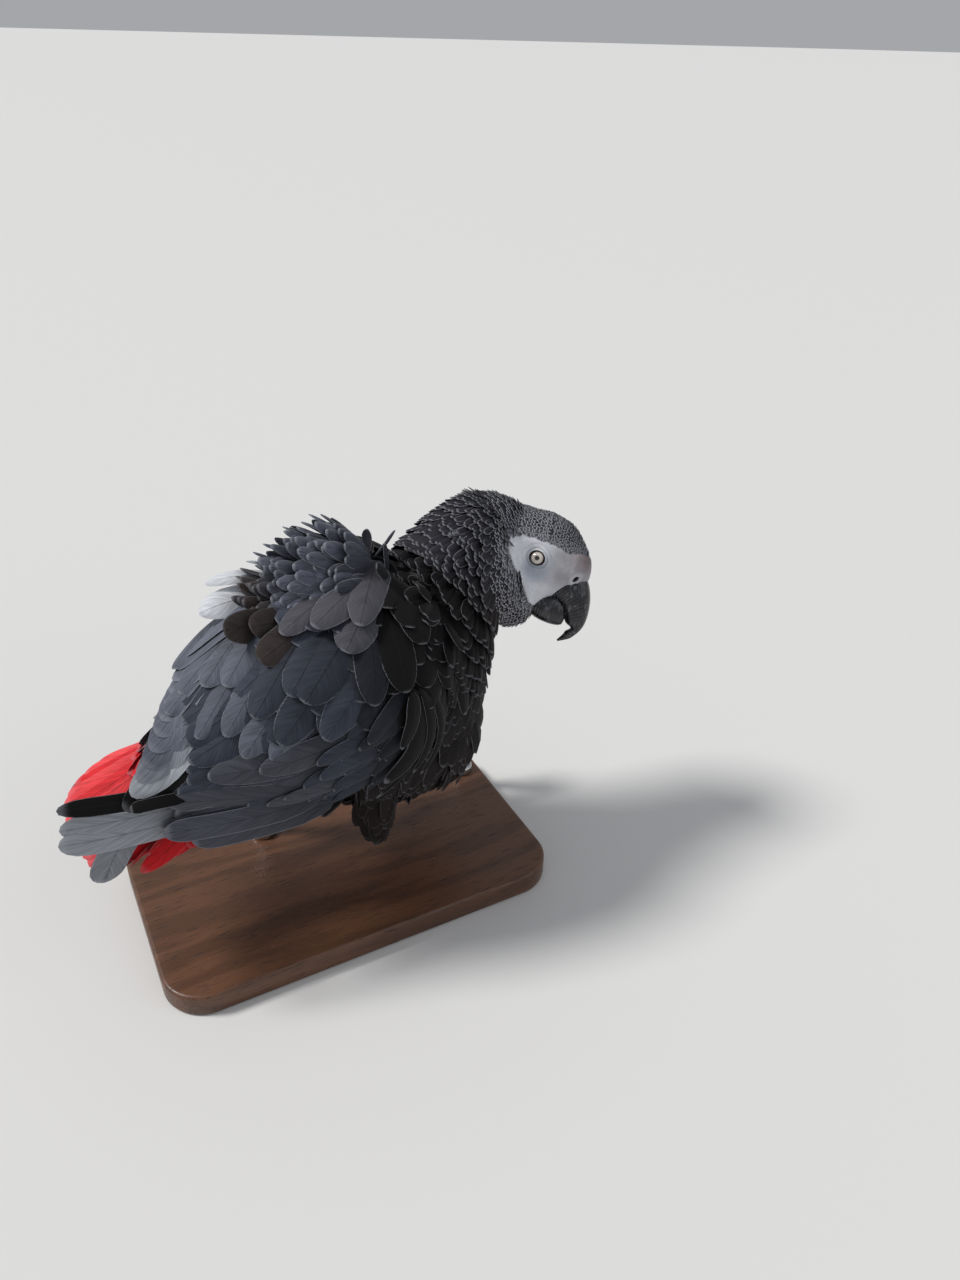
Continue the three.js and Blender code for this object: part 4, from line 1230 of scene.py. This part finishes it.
# Rows of coverts, each row: where its first tip lies on the wing, where its last does, how many, length,
# width, degrees that the first and last point down from straight back, how proud the roots and tips are.
covertRows = [
    (0.92, 0.08, 0.9, 0.52, 6, 44, 20, 24, 28, -3, -0.2),
    (0.79, 0.1, 0.76, 0.5, 5, 40, 24, 34, 34, -3, 0.3),
    (0.86, 0.52, 0.93, 0.66, 4, 56, 17, 26, 6, -3.6, -0.9),
    (0.67, 0.12, 0.66, 0.5, 4, 36, 25, 38, 44, -3, 0.2),
    (0.71, 0.66, 0.71, 0.9, 3, 42, 15, -3, 0, -3, -0.6),
    (0.57, 0.74, 0.55, 0.96, 3, 34, 14, 4, 6, -3, -0.2),
    (0.56, 0.12, 0.53, 0.54, 4, 34, 25, 48, 46, -3, 0.6),
    (0.49, 0.58, 0.5, 0.94, 6, 30, 11, 12, 8, -3, 0.6),
    (0.45, 0.16, 0.42, 0.54, 4, 34, 23, 62, 70, -3, 1),
    (0.38, 0.6, 0.4, 0.98, 6, 30, 10, 48, 14, -3, 0.9),
    (0.34, 0.1, 0.31, 0.6, 4, 32, 21, 76, 84, -3, 1.2), (0.27, 0.66, 0.3, 1, 6, 28, 9, 70, 28, -3, 1),
    (0.23, 0.05, 0.2, 0.6, 5, 30, 18, 80, 84, -3, 1.6), (0.16, 0.62, 0.18, 1, 5, 27, 9, 80, 44, -3, 1),
    (0.12, 0, 0.08, 0.6, 5, 27, 16, 84, 84, -3, 1.8), (0.06, 0.66, 0.05, 1, 5, 24, 8, 84, 64, -3, 0.8),
    (0.02, 0.05, -0.03, 0.9, 7, 24, 12, 84, 84, -3, 1.4),
]
scapularRows = [
    (0.62, 0, 0.46, 0.1, 3, 40, 24, 22, 58, -1, 2.6), (0.3, 0.02, 0.2, 0.22, 3, 34, 20, 70, 84, 0, 4.4),
]
# Single feathers that stand out over the rows: tip place, degrees down from straight back, length, width,
# how proud root and tip are. The first four are the scapulars.
singleFeathers = np.array([
    (0.41, 0.105, 60, 58, 19, 3, 7), (0.525, 0.08, 37, 60, 20, 2, 6), (0.61, 0.08, 36, 43, 15, 1, 4.6),
    (0.46, 0.195, 51, 37, 21, 0, 4), (0.3, 0.425, 89, 40, 19, 0, 5.2),
    (0.405, 0.435, 81, 42, 18, -1, 4.2), (0.58, 0.355, 48, 46, 25, -2, 3.4),
    (0.615, 0.32, 51, 38, 19, -2, 2.6), (0.715, 0.385, 53, 47, 19, -2, 2.2),
    (0.54, 0.515, 43, 42, 19, -2, 3.2), (0.65, 0.5, 48, 38, 20, -2, 2),
    (0.795, 0.44, 55, 40, 15, -2, 1.4), (0.88, 0.425, 53, 40, 15, -2, 0.9),
    (0.745, 0.535, 53, 36, 16, -2, 1.3), (0.67, 0.565, 42, 28, 15, -2, 0.9),
    (0.975, 0.075, 60, 34, 16, -2, 0.7), (1, 0.29, 41, 44, 17, -2, 0.5),
    (0.94, 0.22, 47, 44, 18, -2, 0.8), (0.855, 0.225, 50, 44, 18, -2, 1.2),
    (0.785, 0.25, 55, 42, 17, -2, 1.6), (0.43, 0.595, 32, 35, 11, -1, 3.4),
    (0.455, 0.61, 9, 42, 10, -1, 2.6), (0.395, 0.71, 16, 30, 10, -1, 2.6),
    (0.56, 0.615, 6, 36, 11, -1, 2.8), (0.55, 0.695, 4, 38, 12, -1, 2.4), (0.51, 0.805, 4, 34, 13, -1, 2),
    (0.705, 0.6, 7, 46, 15, -1, 1.9), (0.845, 0.59, -1, 52, 16, -1.5, 1.4),
    (0.635, 0.77, -8, 50, 10, -1, 1.2), (0.675, 0.795, -8, 52, 12, -1.5, 0.7),
    (0.975, 0.675, -14, 66, 14, -2.5, 0.6), (0.955, 0.83, -5, 62, 13, -2.8, 0.1),
    (0.845, 0.96, -9, 76, 14, -2.8, -0.3),
])
vanePlaces = np.array([0, 0.05, 0.15, 0.28, 0.42, 0.56, 0.68, 0.78, 0.86, 0.92, 0.965, 0.99, 1])


# Vanes laid on a wing, each along a line from its root to its tip. tips holds a and b of each.
def layVanes(wing, tips, slope, length, width, out, look):
    count = len(tips)
    a, b = tips.T
    slope = np.radians(slope)
    overA = lengthOf(wingPoint(wing, a + 0.01, b, 0) - wingPoint(wing, a - 0.01, b, 0)) / 0.02
    overB = lengthOf(wingPoint(wing, a, b + 0.01, 0) - wingPoint(wing, a, b - 0.01, 0)) / 0.02
    t = vanePlaces
    back = (1 - t)[None] * length[:, None]
    pathA = a[:, None] - back * (np.cos(slope) / overA)[:, None]
    pathB = b[:, None] - back * (np.sin(slope) / overB)[:, None]
    proud = out[0][:, None] + (out[1] - out[0])[:, None] * t ** 0.8
    shaft = wingPoint(wing, pathA, pathB, proud)
    normal = wingNormal(wing, pathA, pathB, proud)
    along = unit(np.gradient(shaft, axis=1))
    side = unit(np.cross(normal, along))
    facing = unit(np.cross(along, side))
    down = wingPoint(wing, pathA, pathB + 0.01, proud) - wingPoint(wing, pathA, pathB - 0.01, proud)
    lower = np.sign((side * down).sum((1, 2)))[:, None, None]  # tilt raises each vane's lower edge
    roll = np.radians(look.get("tilt", 0) * lower + look.get("roll", 3) * rng.normal(0, 1, (count, 1, 1)))
    side, facing = turned(side, facing, roll)
    half = width[:, None] / 2 * vaneWidth(t, 0.4, 0.3, look.get("roundFrom", 0.6))
    # painted shade: the coverts darken to near black towards the wing's front
    tint = between(colours["shadeDark"], look["tint"], easy(a, 0.3, 0.6))  # darker towards the front
    tint = tint * (1 + 0.09 * rng.normal(0, 1, (count, 1)))
    rootA, rootB = np.clip(pathA[:, 0], 0, 1), np.clip(pathB[:, 0], -0.3, 1)
    unwrap = np.column_stack([0.03 + 0.8 * rootA, 0.2 + 0.6 * rootB])
    sag = width * look.get("cup", 0.07)
    return vaneSet(shaft, side, facing, t, half, sag, 0.3, unwrap, tint.clip(0.003, 1), look, length)


# One row of coverts between its first and last feather, each a little off its place.
def layRow(wing, row, look):
    count, length, width, firstSlope, lastSlope, rootOut, tipOut = row[4:]
    k = np.linspace(0, 1, count)
    tips = between(row[:2], row[2:4], k) + rng.normal(0, 0.009, (count, 2))
    slope = firstSlope + (lastSlope - firstSlope) * k + rng.normal(0, 3, count)
    lengths = length * (1 + 0.06 * rng.normal(0, 1, count))
    widths = width * (1 + 0.06 * rng.normal(0, 1, count))
    out = [value + 0.25 * rng.normal(0, 1, count) + 0.4 * k for value in (rootOut, tipOut)]
    return layVanes(wing, tips, slope, lengths, widths, out, look)


covertLook = dict(tint=colours["wing"], pale=0.3, rim=0.055, cup=0.13, roundFrom=0.55)
flightLook = dict(tint=colours["flight"], pale=0.25, rim=0.07, roundFrom=0.8, roll=0.3, tilt=7, cup=0.02)
quillLook = dict(tint=colours["quill"], pale=0.3, rim=0.09, roundFrom=0.86, roll=0.3, tilt=5, cup=0.03)


flights = {"secondaries": 12, "length": 82, "width": 17, "bars": 4, "barLength": 80, "barWidth": 15}


# Secondaries: their tips make the wing's rear edge, the innermost on top. The long bars under them are the
# outer webs of the inner primaries.
def secondaries(wing):
    k = np.linspace(0, 1, flights["secondaries"])
    tips = np.column_stack([0.957 + 0.125 * k, 0.01 + 0.65 * k])
    out = [-4.2 + 0 * k, -0.6 - 1.4 * k]
    slope, length, width = 34 + 10 * np.sin(np.pi * k) - 4 * k, flights["length"], flights["width"]
    rear = layVanes(wing, tips, slope, length + 0 * k, width + 0 * k, out, flightLook)
    rear["tint"][-3:] = between(colours["flight"], colours["pale"], np.array([0.3, 1.0, 0.0]))
    # painted shade: the last one is near black
    rear["tint"][-1] = colours["shadeDark"]
    k = np.linspace(0, 1, flights["bars"])
    tips = np.column_stack([0.95 - 0.1 * k, 0.70 + 0.27 * k])
    length, width, out = flights["barLength"], flights["barWidth"], [-3 + 0 * k, -1.6 + 0 * k]
    bars = layVanes(wing, tips, 2 - 8 * k, length + 0 * k, width + 0 * k, out, quillLook)
    return together(rear, bars)


# Long feathers that leave the wing: each follows a curve through its root, its middle and its tip.
def freeVanes(rows, look):
    rows = np.array(rows, float)
    count, t = len(rows), vanePlaces
    root, middle, tip, width = rows[:, None, 0:3], rows[:, None, 3:6], rows[:, None, 6:9], rows[:, 9]
    s = t[None, :, None]
    shaft = root * (1 - s) ** 2 + middle * 2 * s * (1 - s) + tip * s ** 2
    along = unit(np.gradient(shaft, axis=1))
    outward = np.repeat(rows[:, None, 10:13], len(t), axis=1)
    side = unit(np.cross(outward, along))
    facing = unit(np.cross(along, side))
    half = width[:, None] / 2 * vaneWidth(t, 0.4, 0.25, look.get("roundFrom", 0.8))
    length = lengthOf(tip[:, 0] - root[:, 0])
    tint = look["tint"] * (1 + 0.08 * rng.normal(0, 1, (count, 1))).clip(0.7, 1.3)
    unwrap = np.column_stack([0.9 + 0 * width, 0.1 + 0.8 * np.arange(count) / count])
    sag = width * look.get("cup", 0.08)
    return vaneSet(shaft, side, facing, t, half, sag, 0.35, unwrap, tint, look, length)


# Root, middle and tip of each primary, then its width and the way that it faces. The right ones leave the
# wing as two blades over a short stack, and one hangs loose below; the left ones lie under the tail's side.
quills = {"right": [
    (-50, -40, 126, -92, -45, 128, -142, -36, 133, 9, -0.1, -0.9, 0.6),
    (-56, -38, 119, -98, -44, 119, -143, -37, 122, 13, -0.1, -1.0, 0.2),
    (-56, -38, 111, -98, -44, 110, -145, -39, 115, 15, -0.1, -1.0, 0.2),
    (-72, -40, 122, -104, -46, 124, -142, -36.5, 131.4, 2.2, -0.1, -1.0, 0.4),
    (-24, -58, 113, -60, -56, 109, -100, -48, 112, 13, -0.1, -1.0, 0.2),
    (-18, -58, 108, -50, -57, 103, -88, -48, 102, 13, -0.1, -1.0, 0.2),
    (-84, -47, 128, -98, -50, 133, -112, -47, 131, 6, -0.1, -0.8, 0.8),
    (-98, -34, 121, -118, -38, 112, -130, -40, 86, 19, 0.5, -1.0, 0.3),
], "left": [
    (-20, 45, 118, -84, 33, 108, -134, 28, 92, 14, -0.1, 1.0, 0.3),
    (-18, 46, 115, -76, 34, 104, -124, 29, 91, 14, -0.1, 1.0, 0.3),
    (-14, 47, 113, -66, 36, 102, -112, 31, 92, 14, -0.1, 1.0, 0.3),
    (-10, 48, 111, -56, 40, 100, -98, 33, 93, 14, -0.1, 1.0, 0.3),
    (-6, 49, 109, -46, 44, 98, -84, 34, 94, 13, -0.1, 1.0, 0.3),
]}
# Ruffled feathers of the left wing's shoulder that stand out past the back: near-white ones, whose white is
# painted sunlight, then brown ones.
sunlitQuills = [
    (-2, 20, 180, -36, 10, 200, -59, 6, 193, 17, -0.25, -0.6, 0.75),
    (-2, 24, 186, -26, 20, 206, -52, 18, 202, 10, -0.2, -0.35, 0.9),
    (0, 20, 190, -25, 20, 203, -36, 20, 205, 4, -0.1, -0.25, 1.0),
    (0, 20, 192, -20, 20, 207, -30, 20, 209, 3, -0.1, -0.3, 1.0),
]
brownQuills = [
    (-8, -14, 184, -40, -20, 197, -55, -26, 200, 17, -0.3, -0.85, 0.5),
    (-8, -16, 188, -34, -24, 199, -43, -28, 199, 15, -0.3, -0.85, 0.5),
    (-14, -28, 196, -35, -37, 191, -43, -38, 187, 16, -0.3, -0.85, 0.5),
]
thighQuills = [  # the thigh's longest feathers hang below it
    (13, -26, 96, 9, -33, 79, 10, -33, 56, 10, -0.3, -1.0, 0.1),
    (19, -26, 94, 16, -32, 74, 14, -32, 58, 9, 0.0, -1.0, 0.1),
    (25, -26, 92, 23, -34, 73, 18, -34, 54, 13, 0.3, -1.0, 0.1),
]
frontQuills = [  # long narrow feathers that sweep round the front of each folded wing, then one that hangs
    (24, -62, 166, 36, -66, 128, 6, -64, 115, 13, 0.4, -1.0, 0.1),
    (27, -62, 166, 50, -62, 128, 4, -57, 100, 5, 0.4, -1.0, 0.1),
    (28, -62, 164, 42, -63, 134, 24, -60, 112, 6.5, 0.4, -1.0, 0.1),
    (22, -64, 166, 26, -67, 150, 14, -69, 137, 10, 0.4, -1.0, 0.1),
    (34, -60, 160, 50, -60, 130, 30, -56, 106, 6, 0.5, -1.0, 0.1),
    (58, -38, 172, 60, -46, 150, 62, -45, 127, 10, 0.5, -1.0, 0.1),
]


def buildWings():
    for name, wing in wings.items():
        rows = [layRow(wing, row, covertLook) for row in covertRows]
        rows += [layRow(wing, row, covertLook) for row in scapularRows]
        finishCoat(f"wing_{name}_coverts", *rows, across=9)
        slope, length, width, *out = singleFeathers[:, 2:].T
        single = layVanes(wing, singleFeathers[:, :2], slope, length, width, out, covertLook)
        single["tint"][:4] = colours["scapular"]
        single["tint"][11:20] = colours["flight"] * 0.9
        single["tint"][26:] = colours["quill"] * 0.8
        finishCoat(f"wing_{name}_single", single, across=9)
        primaries = freeVanes(quills[name], quillLook)
        if name == "right":  # these turn their paler undersides outwards
            primaries["tint"][[1, 2, 7]] = colours["pale"] * np.array([[0.7], [0.75], [0.55]])
            primaries["tint"][3] = colours["pale"] * 1.3
            # painted shade: two of them are near black
            primaries["tint"][[0, 6]] = colours["shadeDark"] * 0.7
        finishCoat(f"wing_{name}_flight", secondaries(wing), primaries, across=9, nodes=[f"wing_{name}"])
    # painted light: these feathers are near white where the sun falls on them
    pale = freeVanes(sunlitQuills, {"tint": shade(214, 217, 222), "pale": 0.5, "rim": 0.1, "roundFrom": 0.6})
    brown = freeVanes(brownQuills, {"tint": colours["brown"], "pale": 0.12, "rim": 0.08, "roundFrom": 0.55})
    finishCoat("raised_feathers", pale, brown, across=9)
    mirror = [1, -1, 1] * 3 + [1, 1, -1, 1]
    strands = np.concatenate([frontQuills, np.array(frontQuills) * mirror])
    # painted shade: the strands round the front of the wings are near black
    front = freeVanes(strands, {"tint": colours["shadeDark"], "pale": 0.35, "rim": 0.09, "roundFrom": 0.6})
    thigh = freeVanes(thighQuills, {"tint": colours["belly"], "pale": 0.2, "rim": 0.1, "roundFrom": 0.55})
    finishCoat("wing_front_feathers", front, thigh, across=5)


buildWings()
print("wings ready")


# The tail's fan: millimetres for root, length, half, crown and width, degrees for spread, turn, slope, roll.
tail = {"root": (-80, 0, 120), "length": 64, "half": 13, "crown": 4, "spread": 14, "turn": 4, "slope": 20,
        "roll": 18, "feathers": 12, "width": 16}


# A place on the fan: s runs across it from right to left, t from its root to its tip.
def tailPoint(s, t, proud):
    slope, roll = math.radians(tail["slope"]), math.radians(tail["roll"])
    turn = np.radians(tail["spread"] * s - tail["turn"])
    reach = tail["length"] * t * (1 - 0.05 * s * s - 0.3 * np.maximum(s, 0) ** 2)
    run = reach * np.cos(turn)
    side = tail["half"] * s + reach * np.sin(turn)
    x, y, z = tail["root"]
    height = tail["crown"] * (1 - s * s) + proud
    return np.stack([x - run * math.cos(slope), y + side * math.cos(roll),
                     z - run * math.sin(slope) + height + side * math.sin(roll)], -1)


# Feathers along the fan: each keeps its place across from start to end along it.
def tailVanes(s, start, end, width, proud, tint, look):
    t = vanePlaces
    along = start[:, None] + (end - start)[:, None] * t
    s = s[:, None] + 0 * along
    shaft = tailPoint(s, along, proud[:, None] + 0 * along)
    way = unit(np.gradient(shaft, axis=1))
    side = unit(tailPoint(s + 0.05, along, 0 * along) - tailPoint(s - 0.05, along, 0 * along))
    facing = unit(np.cross(side, way))
    facing = facing * np.sign(facing[..., 2:3])
    side = unit(np.cross(facing, way))
    half = width[:, None] / 2 * vaneWidth(t, 0.4, 0.6, look.get("roundFrom", 0.78))
    unwrap = np.column_stack([0.5 + 0.45 * s[:, 0], start * 0.8 + 0.5])
    length = (end - start) * tail["length"]
    return vaneSet(shaft, side, facing, t, half, width * 0.08, 0.35, unwrap, tint, look, length)


tailDroops = [  # red feathers that sag below the folded wing
    (-66, -22, 108, -86, -28, 88, -112, -27, 73, 13, 0.2, -1.0, 0.4),
    (-62, -20, 106, -80, -26, 87, -98, -27, 78, 12, 0.2, -1.0, 0.4),
    (-70, -20, 108, -96, -26, 90, -128, -25, 84, 13, 0.2, -1.0, 0.4),
    (-60, -22, 104, -74, -28, 90, -88, -29, 82, 12, 0.2, -1.0, 0.4),
]


def buildTail():
    s = np.linspace(-0.98, 0.98, tail["feathers"])
    one = np.ones(tail["feathers"])
    tint = between(colours["red"], colours["salmon"], rng.uniform(0.1, 0.9, tail["feathers"]))
    look = {"pale": 0.2, "rim": 0.12}
    fan = tailVanes(s, -0.25 * one, one, tail["width"] * one, 1.2 - 2.2 * np.abs(s), tint, look)
    finishCoat("tail_fan", fan, across=9, slotName="tail_red", nodes=["tail"])
    rows = []
    for start, end, count, proud in ((-0.3, 0.42, 9, 2.4), (-0.42, 0.2, 8, 3.6)):
        s = np.linspace(-0.85, 0.85, count) + rng.normal(0, 0.03, count)
        ones = np.ones(count)
        tint = between(colours["red"], colours["rump"] * 0.7, ones * (0.1 if end > 0.3 else 0.8))
        rows.append(tailVanes(s, start * ones, end * ones + rng.normal(0, 0.03, count), 11 * ones,
                              proud - 1.6 * np.abs(s), tint, {"pale": 0.25, "rim": 0.15, "roundFrom": 0.5}))
    finishCoat("tail_coverts", *rows, across=7, slotName="tail_red")
    under = coatTube(underTailTube, (0.2, 2.0), (0, 360), coats["underTail"], (trunkTube,))
    # painted shade: the red under the tail is darkened
    under["tint"] = colours["red"] * 0.62 * (1 + 0.1 * rng.normal(0, 1, (len(under["tint"]), 1)))
    finishCoat("tail_under_coat", under, slotName="tail_red", nodes=["tail_under"])
    # painted shade: the red feathers hanging under the wing are darkened
    loose = freeVanes(tailDroops, {"tint": colours["red"] * 0.8, "pale": 0.15, "rim": 0.12, "roundFrom": 0.6})
    finishCoat("tail_drooping_feathers", loose, across=7, slotName="tail_red")


buildTail()
print("tail ready")


# The stand's round parts, in millimetres.
stand = {"rodRadius": 3.5, "collar": 8, "collarHeight": 5, "ball": 6.5, "corner": 24, "edge": 2,
         "footEdge": 0.6, "collarEdge": 1.4, "fillet": 1.2}


# A profile of radius and height turned about an upright line.
def turnedPiece(profile, x, y):
    profile = np.array(profile, float)
    turn = np.arange(72) * 2 * np.pi / 72
    rings = np.stack([x + profile[:, :1] * np.cos(turn), y + profile[:, :1] * np.sin(turn),
                      profile[:, 1:] + 0 * turn], -1)
    return closedRings(rings)


# Part of a circle in a profile, in degrees from outwards up.
def arcOf(middleR, middleZ, radius, first, last, count=8):
    angle = np.radians(np.linspace(first, last, count))
    return [(middleR + radius * math.cos(a), middleZ + radius * math.sin(a)) for a in angle]


# The rod stands on a collar with rounded edges and ends in a ball that the perch passes through.
def buildRod(node):
    low, high = [np.array(corner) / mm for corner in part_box(node)]
    x, y = (low + high)[:2] / 2
    foot, ballMiddle = low[2], high[2] - stand["ball"]
    collar, rod, ball, rise = stand["collar"], stand["rodRadius"], stand["ball"], stand["collarHeight"]
    neck = math.degrees(math.asin(rod / ball))
    under, over, hollow = stand["footEdge"], stand["collarEdge"], stand["fillet"]
    profile = [(0.2, foot), (collar - under, foot), *arcOf(collar - under, foot + under, under, -90, 0, 4)]
    profile += arcOf(collar - over, foot + rise - over, over, 0, 90, 7)
    profile += [(rod + hollow, foot + rise)]
    profile += arcOf(rod + hollow, foot + rise + hollow, hollow, -90, -180, 6)
    profile += arcOf(0, ballMiddle, ball, neck - 90, 89.5, 28)
    finish(makeMesh(node + "_turned", *turnedPiece(profile, x, y), sharp=40), materials["steel"], "rod", node)


# The board's outline is a rectangle with round corners; its upper and lower edges are rounded too.
def buildBase():
    low, high = [np.array(corner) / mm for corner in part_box("stand_base")]
    half = (high - low) / 2
    edge, corner = stand["edge"], stand["corner"]
    turn = np.linspace(0, 2 * np.pi, 128, endpoint=False) + np.pi / 128
    quarter = np.linspace(0, np.pi / 2, 6)
    inner = half[1] - 1  # how far in from the side the flat faces' innermost ring lies
    profile = [(inner, low[2]), (8, low[2])]
    profile += [(edge - edge * math.sin(a), low[2] + edge - edge * math.cos(a)) for a in quarter]
    profile += [(edge - edge * math.cos(a), high[2] - edge + edge * math.sin(a)) for a in quarter]
    profile += [(8, high[2]), (inner, high[2])]
    rings = []
    for inset, z in profile:
        girth = max(corner - inset, 0.5)
        reach = half[:2] - inset - girth
        ring = np.stack([np.sign(np.cos(turn)) * reach[0] + girth * np.cos(turn),
                         np.sign(np.sin(turn)) * reach[1] + girth * np.sin(turn), z + 0 * turn], -1)
        rings.append(ring + np.append((low + high)[:2] / 2, 0))
    board = makeMesh("stand_base_board", *closedRings(np.array(rings)), sharp=50)
    finish(board, materials["walnut"], "base_wood", "stand_base")


# The perch is a round bar whose ends are half balls: its radius falls off as a circle does.
def buildPerch():
    reach = (perchBox[1, 0] - perchBox[0, 0]) / 2 - perchRadius
    ends = np.sin(np.linspace(-np.pi / 2, np.pi / 2, 16))[1:-1]
    straight = np.linspace(-reach, reach, 60)
    x = np.concatenate([-reach + perchRadius * ends[:7], straight, reach + perchRadius * ends[7:]])
    past = np.maximum(np.abs(x) - reach, 0) / perchRadius
    radius = perchRadius * np.sqrt(np.clip(1 - past ** 2, 0.0001, 1))
    path = np.column_stack([perchMiddle[0] + x, perchMiddle[1] + 0 * x, perchMiddle[2] + 0 * x])
    finish(makeMesh("perch_bar", *swept(path, radius, 40)), materials["bar"], "bar", "perch")


buildPerch()
for node in ("stand_rod_rear", "stand_rod_front"):
    buildRod(node)
buildBase()
print("stand ready")


studio = {"floorReach": 200000, "floorDrop": 0.2, "sky": (0.93, 0.95, 1.0), "skyStrength": 0.4}
lights = {  # the way that each shines from, its strength, its width in degrees, its colour
    "key": ((-1.0, 0.45, 1.3), 2.6, 14, (1.0, 0.98, 0.95)),
    "fill": ((0.9, -1.2, 1.1), 0.35, 50, (0.95, 0.97, 1.0)),
}


# A wide pale floor just under the base.
def buildStage():
    side, drop = studio["floorReach"], -studio["floorDrop"]
    corners = np.array([(-side, -side, drop), (side, -side, drop), (side, side, drop), (-side, side, drop)])
    floor = makeMesh("floor", corners, np.array([[0, 1, 2, 3]]))
    paint = Shader("paleFloor", 0.9)
    paint.paint("Base Color", shade(214, 214, 213))
    floor.data.materials.append(paint.material)


# Distant soft lights and a pale sky.
def lightScene():
    for name, (place, strength, width, colour) in lights.items():
        data = bpy.data.lights.new(name, "SUN")
        data.energy, data.angle, data.color = strength, math.radians(width), colour
        thing = bpy.data.objects.new(name, data)
        shining = Vector([-value for value in place]).to_track_quat("-Z", "Y")
        thing.matrix_world = shining.to_matrix().to_4x4()
        bpy.context.scene.collection.objects.link(thing)
    world = bpy.data.worlds.new("studio")
    world.use_nodes = True
    sky = world.node_tree.nodes["Background"].inputs
    sky[0].default_value = (*studio["sky"], 1)
    sky[1].default_value = studio["skyStrength"]
    bpy.context.scene.world = world
    bpy.context.scene.view_settings.view_transform = "Standard"


buildStage()
lightScene()
